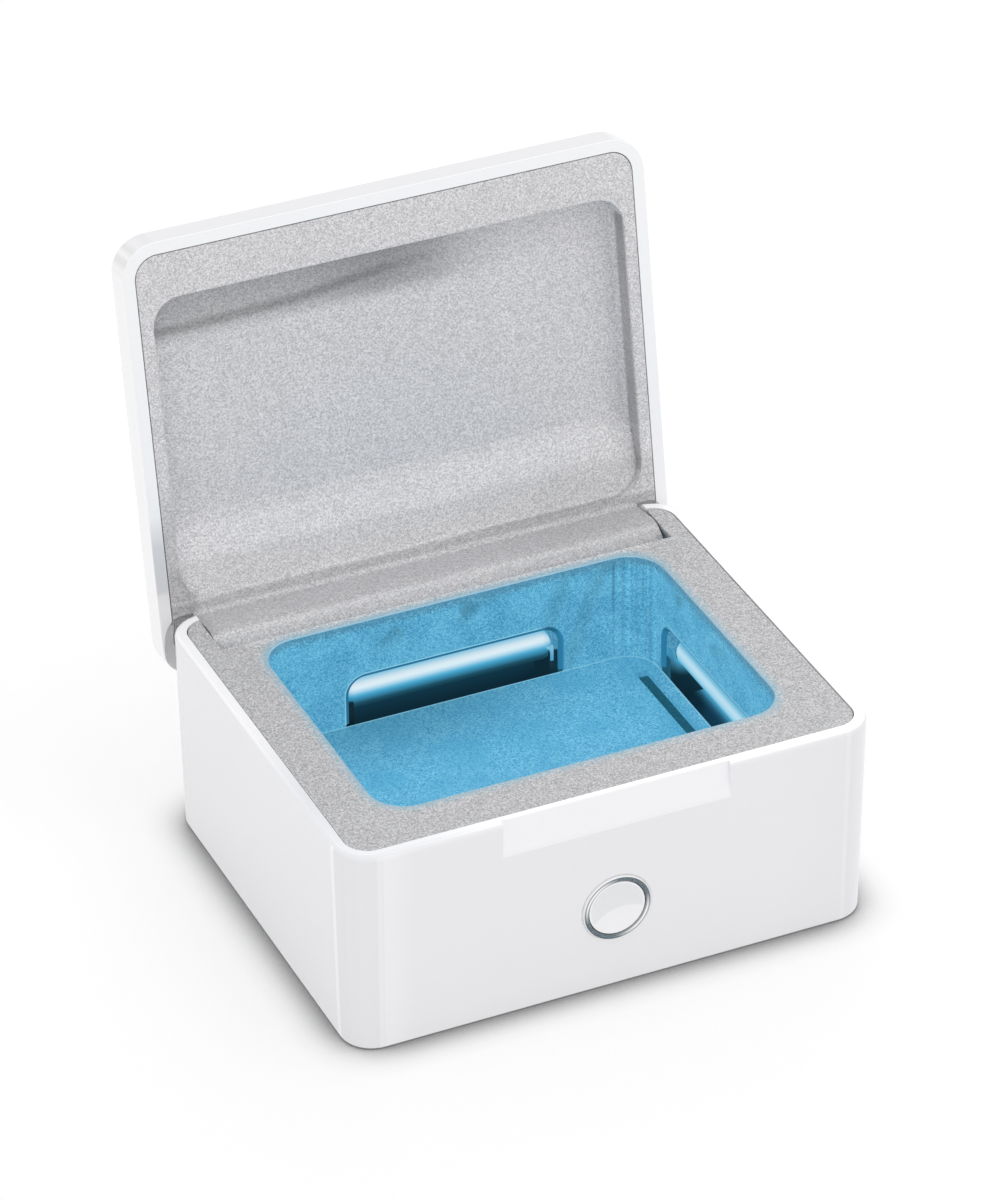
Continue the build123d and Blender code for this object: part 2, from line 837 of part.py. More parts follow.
with BuildPart() as board_screws:
    with BuildSketch(Plane.XY.offset(board_top)):
        with Locations(*standoff_places):
            Circle(small_head_radius)
    extrude(amount=small_head_height)
    with BuildSketch(Plane.XY.offset(board_top)):
        with Locations(*standoff_places):
            Circle(small_screw_radius)
    extrude(amount=-board_thickness - board_rise + screw_end_gap)
board_screws.part.label = "board_screws"
export_step(board_screws.part, "parts/board_screws.step")

with BuildPart() as lamp_transformers:
    with BuildSketch(Plane.XY.offset(board_top)):
        with Locations((board_x, transformer_y)):
            with GridLocations(0, transformer_width + transformer_gap, 1, 2):
                RectangleRounded(transformer_length, transformer_width, fan_corner)
    extrude(amount=transformer_height)
lamp_transformers.part.label = "lamp_transformers"
export_step(lamp_transformers.part, "parts/lamp_transformers.step")

with BuildPart() as supply_capacitor:
    with BuildSketch(Plane.YZ.offset(board_x - capacitor_length / 2)):
        with Locations((capacitor_y, board_top + capacitor_radius)):
            Circle(capacitor_radius)
    extrude(amount=capacitor_length)
supply_capacitor.part.label = "supply_capacitor"
export_step(supply_capacitor.part, "parts/supply_capacitor.step")

with BuildPart() as control_chip:
    with BuildSketch(Plane.XY.offset(board_top)):
        with Locations((board_x, chip_y)):
            Rectangle(chip_size, chip_size)
    extrude(amount=chip_height)
control_chip.part.label = "control_chip"
export_step(control_chip.part, "parts/control_chip.step")

socket_mouth = rear - (base_height - board_top) * slope - socket_sink
with BuildPart() as power_socket:
    with BuildSketch(Plane.XZ.offset(-socket_mouth)):
        with Locations((board_x, board_top + socket_height / 2)):
            SlotOverall(socket_width, socket_height)
    extrude(amount=socket_length)
    with BuildSketch(Plane.XZ.offset(-socket_mouth)):
        with Locations((board_x, board_top + socket_height / 2)):
            SlotOverall(socket_width - 2 * socket_wall, socket_height - 2 * socket_wall)
    extrude(amount=socket_length - socket_wall, mode=Mode.SUBTRACT)
    with BuildSketch(Plane.XZ.offset(socket_length - socket_mouth)):
        with Locations((board_x, board_top + socket_height / 2)):
            Rectangle(tongue_blade_width, tongue_blade_height)
    extrude(amount=-tongue_blade_length - socket_wall)
power_socket.part.label = "power_socket"
export_step(power_socket.part, "parts/power_socket.step")


# ---------------------------------------------------------------- button

with BuildPart() as button_ring:
    with BuildSketch(Plane.XZ.offset(-ring_seat_y)):
        with Locations((0, button_height)):
            Circle(ring_radius)
            Circle(bore_radius, mode=Mode.SUBTRACT)
    extrude(amount=ring_seat_y - ring_front_y)
    fillet(button_ring.faces().sort_by(Axis.Y)[0].edges(), ring_edge_radius)
    with BuildSketch(Plane.XZ.offset(-ring_seat_y)):
        with Locations((0, button_height)):
            Circle(tube_radius)
            Circle(bore_radius, mode=Mode.SUBTRACT)
    extrude(amount=ring_seat_y - ring_back_y)
button_ring.part.label = "button_ring"
export_step(button_ring.part, "parts/button_ring.step")

cap_radius = bore_radius - cap_gap
cap_front_y = ring_front_y + cap_sink
dish_radius = ((cap_radius - cap_rim) ** 2 + cap_dish**2) / (2 * cap_dish)
with BuildPart() as button_cap:
    with BuildSketch(Plane.XZ.offset(-cap_front_y)):
        with Locations((0, button_height)):
            Circle(cap_radius)
    extrude(amount=cap_front_y - flange_back_y)
    with BuildSketch(Plane.XZ.offset(-flange_front_y)):
        with Locations((0, button_height)):
            Circle(bore_radius + cap_flange_lip)
    extrude(amount=-cap_flange_thickness)
    with BuildSketch(Plane.XZ.offset(-flange_back_y)):
        with Locations((0, button_height)):
            Circle(cap_stem_radius)
    extrude(amount=flange_back_y - plunger_front_y)
    with Locations((0, cap_front_y + cap_dish - dish_radius, button_height)):
        Sphere(dish_radius, mode=Mode.SUBTRACT)
button_cap.part.label = "button_cap"
export_step(button_cap.part, "parts/button_cap.step")

plunger_back_y = switch_front_y + plunger_insert
with BuildPart() as switch_plunger:
    with BuildSketch(Plane.XZ.offset(-plunger_front_y)):
        with Locations((0, button_height)):
            Circle(plunger_radius)
    extrude(amount=plunger_front_y - plunger_back_y)
switch_plunger.part.label = "switch_plunger"
export_step(switch_plunger.part, "parts/switch_plunger.step")

with BuildPart() as switch_body:
    with BuildSketch(Plane.XZ.offset(-switch_front_y)):
        with Locations((0, button_height)):
            Rectangle(switch_size, switch_size)
    extrude(amount=-switch_depth)
    with BuildSketch(Plane.XZ.offset(-switch_front_y)):
        with Locations((0, button_height)):
            Circle(plunger_radius + plunger_gap)
    extrude(amount=-plunger_insert - button_travel - plunger_end_gap, mode=Mode.SUBTRACT)
switch_body.part.label = "switch_body"
export_step(switch_body.part, "parts/switch_body.step")

with BuildPart() as button_board:
    with BuildSketch(Plane.XZ.offset(-button_board_y)):
        with Locations((0, button_height)):
            Rectangle(button_board_width, button_board_height)
        with Locations((-peg_x, button_height), (peg_x, button_height)):
            Circle(peg_radius + peg_gap, mode=Mode.SUBTRACT)
    extrude(amount=-board_thickness)
button_board.part.label = "button_board"
export_step(button_board.part, "parts/button_board.step")


# ---------------------------------------------------------------- hinge pins and lid sensor

pin_inner = tongue_half_length - pin_grip
pin_outer = notch_half + trough_end_wall
with BuildPart() as hinge_pins:
    for hand in (-1, 1):
        with BuildSketch(hinge_section.offset(hand * pin_inner)):
            Circle(pin_radius)
        extrude(amount=hand * (pin_outer - pin_inner))
        with BuildSketch(hinge_section.offset(hand * pin_outer)):
            Circle(pin_head_radius)
        extrude(amount=hand * pin_head_height)
hinge_pins.part.label = "hinge_pins"
export_step(hinge_pins.part, "parts/hinge_pins.step")

with BuildPart() as lid_sensor:
    with BuildSketch(Plane.YZ.offset(magnet_x - sensor_length / 2)):
        with Locations((magnet_y, liner_bottom - sensor_radius)):
            Circle(sensor_radius)
    extrude(amount=sensor_length)
lid_sensor.part.label = "lid_sensor"
export_step(lid_sensor.part, "parts/lid_sensor.step")


# ---------------------------------------------------------------- lid shell

with BuildPart() as lid_shell:
    lid_block(lid_rim, lid_top, 0)
    fillet(lid_shell.faces().sort_by(lid_up)[-1].edges(), lid_edge_radius)
    lid_block(lid_rim, lid_rim + lid_plate, wall, Mode.SUBTRACT)
    lid_block(lid_rim + lid_plate, lid_top - lid_top_wall, wall + lid_ledge, Mode.SUBTRACT)
    corner_relief()
lid_shell.part.label = "lid_shell"
export_step(lid_shell.part, "parts/lid_shell.step")


# ---------------------------------------------------------------- lid liner


def recess_form(grow):
    """The lid's shallow recess as a solid, with its ramp towards the hinge, grown by a wall."""
    front = recess_front - hinge_y
    back = recess_back - hinge_y
    floor = recess_floor + grow
    with BuildPart() as form:
        with BuildSketch(lid_section):
            Polygon(
                (front - grow, lid_rim),
                (front - grow, floor),
                (recess_ramp_start - hinge_y, floor),
                (back, lid_rim + recess_step + grow),
                (back, lid_rim),
                align=None,
            )
        extrude(amount=recess_half_width + grow, both=True)
        with BuildSketch(lid_base.offset(lid_rim)):
            with Locations((0, (front + back) / 2)):
                RectangleRounded(
                    2 * (recess_half_width + grow),
                    back - front + 2 * grow,
                    recess_corner + grow,
                )
        extrude(amount=floor - lid_rim, mode=Mode.INTERSECT)
        floor_edges = form.faces().sort_by(lid_up)[-1].edges()
        # all but the edge where the floor meets the ramp
        fillet(floor_edges.sort_by(Axis.Z)[1:], recess_floor_radius)
    return form.part


recess = recess_form(0)
recess_tub = recess_form(recess_wall)

with BuildPart() as lid_liner:
    lid_block(lid_rim, lid_rim + lid_plate, wall + shell_gap)
    add(recess_tub)
    # closed backs of the corner reliefs
    with BuildSketch(lid_base.offset(lid_rim)):
        for hand in (-1, 1):
            with Locations((hand * tongue_half_length, 0)):
                Rectangle(
                    2 * (side - tongue_half_length),
                    2 * (sqrt(relief_radius**2 - lid_rim**2) + relief_cover),
                )
        with Locations((0, -hinge_y)):
            inset = wall + lid_ledge + shell_gap
            RectangleRounded(
                width - 2 * inset, depth - 2 * inset, corner_radius - inset, mode=Mode.INTERSECT
            )
    extrude(amount=relief_back - lid_rim)
    # tongue that turns in the base's trough
    with BuildSketch(lid_section):
        Circle(tongue_radius)
        Rectangle(2 * tongue_radius, lid_rim, align=(Align.CENTER, Align.MIN))
        with Locations((hinge_setback - tongue_sink, 0)):
            Rectangle(
                tongue_radius,
                2 * (tongue_radius + lid_rim),
                align=(Align.MIN, Align.CENTER),
                mode=Mode.SUBTRACT,
            )
        with Locations((-tongue_radius, lid_rim)):
            Rectangle(web_fillet, web_fillet, align=(Align.MAX, Align.MAX))
        with Locations((-tongue_radius - web_fillet, lid_rim - web_fillet)):
            Circle(web_fillet, mode=Mode.SUBTRACT)
    extrude(amount=tongue_half_length, both=True)
    add(recess, mode=Mode.SUBTRACT)
    corner_relief()
    # bores for the hinge pins
    for hand in (-1, 1):
        with BuildSketch(hinge_section.offset(hand * tongue_half_length)):
            Circle(pin_radius + pin_running_gap)
        extrude(amount=-hand * (pin_grip + screw_end_gap), mode=Mode.SUBTRACT)
    # ring that holds the magnet
    with BuildSketch(lid_base.offset(lid_rim + lid_plate)):
        with Locations((magnet_x, magnet_y - hinge_y)):
            Circle(magnet_radius + magnet_clearance + magnet_ring_wall)
            Circle(magnet_radius + magnet_clearance, mode=Mode.SUBTRACT)
    extrude(amount=magnet_thickness)
lid_liner.part.label = "lid_liner"
export_step(lid_liner.part, "parts/lid_liner.step")

with BuildPart() as lid_magnet:
    with BuildSketch(lid_base.offset(lid_rim + lid_plate)):
        with Locations((magnet_x, magnet_y - hinge_y)):
            Circle(magnet_radius)
    extrude(amount=magnet_thickness)
lid_magnet.part.label = "lid_magnet"
export_step(lid_magnet.part, "parts/lid_magnet.step")
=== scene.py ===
"""Looks of the hearing aid dryer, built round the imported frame. Metres, +Z up, front towards -Y."""

import math

import bpy
from mathutils import Matrix, Vector


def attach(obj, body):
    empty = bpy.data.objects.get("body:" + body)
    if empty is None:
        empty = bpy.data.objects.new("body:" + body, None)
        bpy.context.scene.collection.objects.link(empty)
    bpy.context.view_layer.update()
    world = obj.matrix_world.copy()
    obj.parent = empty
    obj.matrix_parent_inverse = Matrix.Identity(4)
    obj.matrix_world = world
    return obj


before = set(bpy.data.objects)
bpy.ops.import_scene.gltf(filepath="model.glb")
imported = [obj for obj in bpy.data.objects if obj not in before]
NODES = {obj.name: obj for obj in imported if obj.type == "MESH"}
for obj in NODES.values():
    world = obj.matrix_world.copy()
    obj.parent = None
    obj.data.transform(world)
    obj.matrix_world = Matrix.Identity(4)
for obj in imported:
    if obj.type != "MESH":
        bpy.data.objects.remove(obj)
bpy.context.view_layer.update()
MM = 0.001

# ---------------------------------------------------------------- sizes that the looks follow

CASE_HALF = (61.0 * MM, 50.4 * MM)
CASE_CORNER = 8.0 * MM
BASE_RIM = 49.3 * MM
DECK_Z = 49.05 * MM
CHAMBER_CENTRE = (0.0, -1.625 * MM)
CHAMBER_HALF = (46.4 * MM, 34.225 * MM)
CHAMBER_CORNER = 8.0 * MM
TRAY_TOP = 23.1 * MM
TRAY_HALF = (45.8 * MM, 33.625 * MM)
TRAY_CORNER = 7.4 * MM
LAMP_RADIUS = 3.5 * MM
LAMP_HEIGHT = 27.3 * MM
LAMP_END = (22.6 * MM, 25.4 * MM)
BACK_LAMP_Y = 38.4 * MM
SIDE_LAMP_X = 52.2 * MM
SIDE_SHEET_X = 55.3 * MM
HOLDER_SPLIT = 25.3 * MM
BUTTON_HEIGHT = 20.1 * MM
RING_INNER = 6.6 * MM
RING_OUTER = 7.8 * MM
GRIP_HALF = 26.1 * MM
GRIP_HEIGHT = 8.55 * MM
GRIP_FACE = -49.1 * MM
HINGE = (0.0, 43.36 * MM, 41.8 * MM)
TONGUE_HALF = (46 * MM, 50 * MM)
LID_RIM = 7.62 * MM
LID_COVER = 16.22 * MM
LID_OPEN = math.radians(99.65)
RECESS_FRONT = -80.76 * MM
RECESS_BACK = -10.36 * MM
RECESS_HALF = 55.3 * MM
RECESS_CORNER = 8.0 * MM
FLOOR_Z = -0.05 * MM
FLOOR_REACH = 3.0

# the lamp bays' arches in the chamber's walls
BAY_HALF = 26.2 * MM
BAY_TOP = 35.3 * MM
BAY_CORNER = 5.0 * MM

# ---------------------------------------------------------------- camera

CAMERA_AT = Vector((-424.55, -934.28, 728.11)) * MM
CAMERA_AZIMUTH = math.radians(-24.26)
CAMERA_ELEVATION = math.radians(32.77)
CAMERA_ROLL = math.radians(-0.49)
CAMERA_CLIP = (0.05, 50)
FOCAL_PIXELS = 5766.09
FRAME_HEIGHT_PIXELS = 1200
SENSOR = 36.0


def make_camera():
    """The photograph's camera, from its place, heading, tilt and roll."""
    back = Vector(
        (
            math.sin(CAMERA_AZIMUTH) * math.cos(CAMERA_ELEVATION),
            -math.cos(CAMERA_AZIMUTH) * math.cos(CAMERA_ELEVATION),
            math.sin(CAMERA_ELEVATION),
        )
    )
    level = (-back).cross(Vector((0, 0, 1))).normalized()
    upright = level.cross(-back)
    right = level * math.cos(CAMERA_ROLL) + upright * math.sin(CAMERA_ROLL)
    up = upright * math.cos(CAMERA_ROLL) - level * math.sin(CAMERA_ROLL)
    data = bpy.data.cameras.new("camera")
    data.sensor_width = SENSOR
    data.lens = FOCAL_PIXELS / FRAME_HEIGHT_PIXELS * SENSOR
    data.clip_start, data.clip_end = CAMERA_CLIP
    camera = bpy.data.objects.new("camera", data)
    camera.matrix_world = Matrix.Translation(CAMERA_AT) @ Matrix((right, up, back)).transposed().to_4x4()
    bpy.context.scene.collection.objects.link(camera)
    bpy.context.scene.camera = camera


make_camera()

# ---------------------------------------------------------------- shader helpers

WHITE = (1.0, 1.0, 1.0, 1.0)
BLACK = (0.0, 0.0, 0.0, 1.0)
# a tone that leaves the colour that it multiplies as it is
SAME = WHITE
X_AXIS, Y_AXIS, Z_AXIS = 0, 1, 2
# a curve's results go up to this
CURVE_TOP = 1.25
# the share of its reach over which a peak stays at 1
NEAR_FLAT = 0.25
# the sockets of a colour mix, which share their names with those of other kinds
MIX_FACTOR, MIX_ONE, MIX_TWO, MIX_RESULT = 0, 6, 7, 2


def linear(red, green, blue):
    """A colour given in the 0 to 255 steps of a screen, as the shaders want it."""
    steps = [value / 255 for value in (red, green, blue)]
    return tuple(v / 12.92 if v <= 0.04045 else ((v + 0.055) / 1.055) ** 2.4 for v in steps) + (1.0,)


class Shader:
    """The node tree of a new material or of the owner given, with short calls for its nodes."""

    def __init__(self, name, owner=None):
        self.owner = owner or bpy.data.materials.new(name)
        self.owner.use_nodes = True
        self.tree = self.owner.node_tree
        self.tree.nodes.clear()
        self.place = None

    def node(self, kind, inputs=(), **settings):
        """A node; its inputs are numbers, colours or other nodes' sockets."""
        made = self.tree.nodes.new("ShaderNode" + kind)
        for key, value in settings.items():
            setattr(made, key, value)
        for key, value in dict(inputs).items():
            socket = made.inputs[key]
            if isinstance(value, bpy.types.NodeSocket):
                self.tree.links.new(value, socket)
            elif socket.type == "VECTOR":
                socket.default_value = value[:3]
            else:
                socket.default_value = value
        return made

    def where(self):
        """The point's place on the object, which moves with it."""
        if self.place is None:
            self.place = self.node("TexCoord").outputs["Object"]
        return self.place

    def axes(self):
        split = self.node("SeparateXYZ", {"Vector": self.where()})
        return split.outputs["X"], split.outputs["Y"], split.outputs["Z"]

    def calc(self, operation, *values):
        return self.node("Math", enumerate(values), operation=operation).outputs[0]

    def plus(self, one, two):
        return self.calc("ADD", one, two)

    def less(self, one, two):
        return self.calc("SUBTRACT", one, two)

    def unsigned(self, value):
        return self.calc("ABSOLUTE", value)

    def times(self, *values):
        result = values[0]
        for value in values[1:]:
            result = self.calc("MULTIPLY", result, value)
        return result

    def vector(self, operation, *values, out="Vector"):
        return self.node("VectorMath", enumerate(values), operation=operation).outputs[out]

    def flat(self, one, two=0.0):
        """A vector of two numbers."""
        return self.node("CombineXYZ", {"X": one, "Y": two, "Z": 0.0}).outputs[0]

    def ramp(self, value, low, high, to_low=0.0, to_high=1.0, smooth=True):
        """A number that goes from one level to the other as the value goes from low to high."""
        made = self.node(
            "MapRange",
            {"Value": value, "From Min": low, "From Max": high, "To Min": to_low, "To Max": to_high},
            interpolation_type="SMOOTHSTEP" if smooth else "LINEAR",
        )
        return made.outputs["Result"]

    def drop(self, value, low, high):
        """1 up to the low value, and 0 from the high one on."""
        return self.ramp(value, low, high, 1.0, 0.0)

    def near(self, value, target, reach):
        """1 where the value is at the target, falling smoothly to 0 at the reach."""
        return self.drop(self.unsigned(self.less(value, target)), NEAR_FLAT * reach, reach)

    def stops(self, value, points):
        """A colour that follows straight runs through the points, each a value and its colour."""
        low, high = points[0][0], points[-1][0]
        made = self.node("ValToRGB", {"Fac": self.ramp(value, low, high, smooth=False)})
        elements = made.color_ramp.elements
        while len(elements) < len(points):
            elements.new(0.5)
        for element, (at, colour) in zip(elements, points):
            element.position = (at - low) / (high - low)
            element.color = colour
        return made.outputs[0]

    def curve(self, value, points, unit=MM):
        """A number that follows straight runs through the points, each a value and its result."""
        greys = [(at * unit, (result / CURVE_TOP,) * 3 + (1.0,)) for at, result in points]
        return self.times(self.stops(value, greys), CURVE_TOP)

    def mix(self, factor, one, two):
        inputs = {MIX_FACTOR: factor, MIX_ONE: one, MIX_TWO: two}
        return self.node("Mix", inputs, data_type="RGBA").outputs[MIX_RESULT]

    def scale(self, colour, factor):
        """A colour times a number."""
        return self.node("VectorMath", {0: colour, "Scale": factor}, operation="SCALE").outputs["Vector"]

    def darker(self, shade, mask, share):
        """The shade less its share where the mask is 1."""
        return self.times(shade, self.less(1.0, self.times(mask, share)))

    def noise(self, size, detail=2.0):
        """Noise whose features are about that size across."""
        inputs = {"Vector": self.where(), "Scale": 1 / size, "Detail": detail}
        return self.node("TexNoise", inputs).outputs["Fac"]

    def rounded(self, one, two, centre, half, corner):
        """How far the point is outside a rounded rectangle, and its place past the corner's middle."""
        x = self.less(self.unsigned(self.less(one, centre[0])), half[0] - corner)
        y = self.less(self.unsigned(self.less(two, centre[1])), half[1] - corner)
        length = self.vector("LENGTH", self.vector("MAXIMUM", self.flat(x, y), (0.0, 0.0, 0.0)), out="Value")
        return self.less(length, corner), x, y

    def bump(self, height, distance, strength):
        inputs = {"Height": height, "Distance": distance, "Strength": strength}
        return self.node("Bump", inputs).outputs["Normal"]

    def finish(self, **inputs):
        """The surface itself; the names are the shader's own, with _ for a space."""
        surface = self.node("BsdfPrincipled", {key.replace("_", " "): value for key, value in inputs.items()})
        self.node("OutputMaterial", {"Surface": surface.outputs[0]})
        return self.owner

    def finish_lit(self, colour, share, strength, roughness):
        """A surface that holds a share of its colour and glows in it at a strength."""
        return self.finish(
            Base_Color=self.scale(colour, share),
            Roughness=roughness,
            Emission_Color=colour,
            Emission_Strength=strength,
        )


def dress(material, *names):
    """Give CAD nodes a material."""
    for name in names:
        mesh = NODES[name].data
        mesh.materials.clear()
        mesh.materials.append(material)


def lid_axes(shader):
    """Where the point is on the closed lid, from the hinge: towards the back, and up."""
    arm = shader.vector("SUBTRACT", shader.where(), HINGE)
    cosine, sine = math.cos(LID_OPEN), math.sin(LID_OPEN)
    back = shader.vector("DOT_PRODUCT", arm, (0.0, cosine, -sine), out="Value")
    up = shader.vector("DOT_PRODUCT", arm, (0.0, sine, cosine), out="Value")
    return back, up


# ---------------------------------------------------------------- white plastic

SHELL_WHITE = linear(242, 242, 244)
# painted highlight: the white given to rims, lips and bright lines where light falls on the gloss
HIGHLIGHT_WHITE = linear(254, 254, 255)
# painted shade on the lid's front side
SIDE_WHITE = linear(228, 228, 231)
GRIP_HIGHLIGHT = linear(251, 251, 254)
# painted shade: the lid's cover is given a greyer white than its sides
COVER_WHITE = linear(236, 236, 239)
SHADED_RIM = linear(236, 237, 241)
GREY_BORDER = linear(216, 216, 219)
BESIDE_CORNER = (1.045, 1.045, 1.05, 1.0)
RIGHT_FRONT_SHADE = 0.975

# reflections in the gloss round the front corners, by the angle in radians from the side
BASE_STREAKS = (
    (0.0, 0.95), (0.45, 0.955), (0.55, 0.97), (0.80, 0.965), (0.95, 0.98), (1.36, 0.965), (1.44, 1.03),
    (1.57, 1.02),
)
LID_STREAKS = (
    (0.0, 1.04), (0.22, 0.96), (0.34, 0.98), (0.50, 0.84), (0.62, 0.82), (0.74, 0.96), (0.92, 0.78),
    (1.10, 0.92), (1.25, 0.98), (1.57, 0.98),
)
# the grey reflection on the lid's left border, by the distance from the hinge in millimetres
BORDER_REFLECTION = (
    (-32, 0.0), (-25, 0.8), (-19, 1.0), (-14.5, 1.0), (-13.5, 0.55), (-4, 0.5), (0, 0.3),
)


def case_corner(shader, x, y):
    """The place past the corner's middle, the angle round it, and 1 on the round itself."""
    past_x, past_y = shader.rounded(x, y, (0.0, 0.0), CASE_HALF, CASE_CORNER)[1:]
    turn = shader.calc("ARCTAN2", past_y, past_x)
    on_corner = shader.times(shader.ramp(past_x, 0.0, 0.3 * MM), shader.ramp(past_y, 0.0, 0.3 * MM))
    return past_x, past_y, turn, on_corner


def corner_highlight_line(shader, past_x, past_y, y):
    """The painted highlight line on the sides where the front corners begin."""
    beside = shader.times(shader.near(past_y, -0.2 * MM, 1.1 * MM), shader.ramp(past_x, 0.0, 1.0 * MM))
    return shader.times(beside, shader.drop(y, -10 * MM, 0.0))


def finish_gloss(shader, colour):
    """Moulded gloss plastic with the faintest waviness in its polish."""
    wave = shader.noise(9 * MM, detail=1.0)
    return shader.finish(
        Base_Color=colour,
        Roughness=shader.ramp(shader.noise(0.6 * MM), 0.3, 0.7, 0.16, 0.22),
        Normal=shader.bump(wave, 0.02 * MM, 0.4),
        IOR=1.5,
        Coat_Weight=0.4,
        Coat_Roughness=0.08,
    )


def base_white():
    """The base's shell: painted highlight on the rim and in the finger recess, painted reflections in its
    corners.
    """
    shader = Shader("base_white")
    x, y, z = shader.axes()
    past_x, past_y, turn, on_corner = case_corner(shader, x, y)
    tone = shader.mix(on_corner, SAME, shader.curve(turn, BASE_STREAKS, unit=1))
    # light gathers on the front beside its left corner
    beside = shader.times(
        shader.ramp(past_x, -8 * MM, -1 * MM),
        shader.drop(past_x, -0.1 * MM, 0.1 * MM),
        shader.drop(x, -1 * MM, 0.0),
        shader.ramp(past_y, 0.0, 1 * MM),
    )
    tone = shader.mix(beside, tone, BESIDE_CORNER)
    colour = shader.vector("MULTIPLY", SHELL_WHITE, tone)
    # painted highlight: the finger recess's face, tilted up, is whiter
    grip_bottom = BASE_RIM - GRIP_HEIGHT
    grip = shader.times(
        shader.drop(y, GRIP_FACE + 1.2 * MM, GRIP_FACE + 1.4 * MM),
        shader.drop(shader.unsigned(x), GRIP_HALF, GRIP_HALF + 0.1 * MM),
        shader.ramp(z, grip_bottom - 0.1 * MM, grip_bottom + 0.05 * MM),
    )
    colour = shader.mix(grip, colour, GRIP_HIGHLIGHT)
    # painted shade dims the front towards its right end
    colour = shader.scale(colour, shader.ramp(x, 34 * MM, 54 * MM, 1.0, RIGHT_FRONT_SHADE))
    colour = shader.mix(corner_highlight_line(shader, past_x, past_y, y), colour, HIGHLIGHT_WHITE)
    # painted shade dims the rim towards the left and the front
    dull = shader.times(shader.drop(x, -50 * MM, -18 * MM), shader.drop(y, -30 * MM, 10 * MM))
    # painted highlight: the base's rim is whiter than its sides
    on_rim = shader.ramp(z, BASE_RIM - 0.5 * MM, BASE_RIM - 0.25 * MM)
    return finish_gloss(shader, shader.mix(on_rim, colour, shader.mix(dull, HIGHLIGHT_WHITE, SHADED_RIM)))


def lid_white():
    """The lid's shell: painted shade on cover and front side, painted highlight at the left, painted
    reflections.
    """
    shader = Shader("lid_white")
    x = shader.axes()[X_AXIS]
    back, up = lid_axes(shader)
    y = shader.plus(back, HINGE[1])
    past_x, past_y, turn, on_corner = case_corner(shader, x, y)
    below_cover = shader.drop(up, LID_COVER - 0.6 * MM, LID_COVER - 0.3 * MM)
    streaks = shader.mix(shader.ramp(y, -30 * MM, -20 * MM), shader.curve(turn, LID_STREAKS, unit=1), SAME)
    tone = shader.mix(shader.times(on_corner, below_cover), SAME, streaks)
    # painted highlight on the lid's left side, painted shade on its front side
    left_side = shader.times(below_cover, shader.drop(x, -60 * MM, -52 * MM))
    front_side = shader.times(shader.ramp(turn, 0.9, 1.5), shader.drop(y, -10 * MM, 0.0), below_cover)
    colour = shader.mix(below_cover, COVER_WHITE, SHELL_WHITE)
    colour = shader.mix(left_side, colour, HIGHLIGHT_WHITE)
    colour = shader.mix(front_side, colour, SIDE_WHITE)
    colour = shader.vector("MULTIPLY", colour, tone)
    # painted highlight along the line where the lid's front corners begin
    line = shader.times(corner_highlight_line(shader, past_x, past_y, y), below_cover)
    colour = shader.mix(line, colour, HIGHLIGHT_WHITE)
    # painted reflection: a grey band on the lid's left border
    dull = shader.times(shader.curve(back, BORDER_REFLECTION), shader.drop(x, -56 * MM, -54 * MM))
    # painted highlight: the lid's rim is whiter than its sides
    on_rim = shader.drop(up, LID_RIM + 0.25 * MM, LID_RIM + 0.5 * MM)
    return finish_gloss(shader, shader.mix(on_rim, colour, shader.mix(dull, HIGHLIGHT_WHITE, GREY_BORDER)))


# ---------------------------------------------------------------- silver grey paint

GRAIN_SIZE = 0.27 * MM
CELL_SHARE = 0.8
GRAIN_BUMP = (0.02 * MM, 0.5)
# each pair is the grain's dark and bright colour
SILVER = (linear(180, 179, 180), linear(248, 245, 247))
SILVER_CLOUD = linear(190, 189, 191)
NEAR_HINGE_TINT = (1.0, 1.02, 1.035, 1.0)

# how the lid's ramp, border, ridge and tongue shade the paint, by the distance from the hinge
LID_BANDS = (
    (-34.0, 1.00), (-27.0, 1.02), (-25.0, 1.11), (-19.5, 1.11), (-17.5, 0.98), (-11.4, 0.98), (-10.7, 1.08),
    (-10.2, 0.95), (-9.8, 0.81), (-8.8, 0.81), (-8.0, 0.93), (-7.6, 0.86), (-7.2, 0.75), (-6.95, 0.755),
    (-6.7, 0.80), (-6.4, 0.92), (-6.1, 0.93), (-5.6, 0.85), (-4.9, 0.90), (-4.2, 0.95),
)
# the recess's shadow, by x: how dark it is, where its lower edge lies in centimetres, how dark that is
SHADOW_DEPTH = ((-50, 0.26), (-21, 0.30), (0, 0.45), (10, 0.36), (20, 0.12), (30, 0.02))
SHADOW_DRIFT = ((-46, 0.73), (-21, 0.64), (5, 0.36))
SHADOW_EDGE = ((-50, 0.22), (-15, 0.22), (10, 0.08), (22, 0.0))
SHADOW_START = -78.7 * MM
# the shade on the recess's right wall and on the lid's left border, by the distance from the hinge
WALL_SHADE = ((-80, 1.0), (-72, 0.8), (-60, 0.55), (-30, 0.35), (-12, 0.1))
BORDER_SHADE = ((-40, 0.0), (-24, 0.26), (-10, 0.30), (-6, 0.14), (0, 0.3))
# how much painted shade darkens the lid towards its right, on the recess's right wall and along the recess's
# edge
RIGHT_DARK, WALL_DARK, OUTLINE_DARK = 0.07, 0.45, 0.26


def grain_of(shader):
    """The paint's fine metallic grain, from 0 to 1: crisp cells over a softer noise."""
    inputs = {"Vector": shader.where(), "Scale": 1 / GRAIN_SIZE}
    cells = shader.node("TexVoronoi", inputs, feature="F1")
    tone = shader.node("SeparateColor", {"Color": cells.outputs["Color"]}).outputs[0]
    soft = shader.ramp(shader.noise(1.2 * GRAIN_SIZE, detail=1.0), 0.3, 0.7, smooth=False)
    return shader.plus(shader.times(tone, CELL_SHARE), shader.times(soft, 1 - CELL_SHARE))


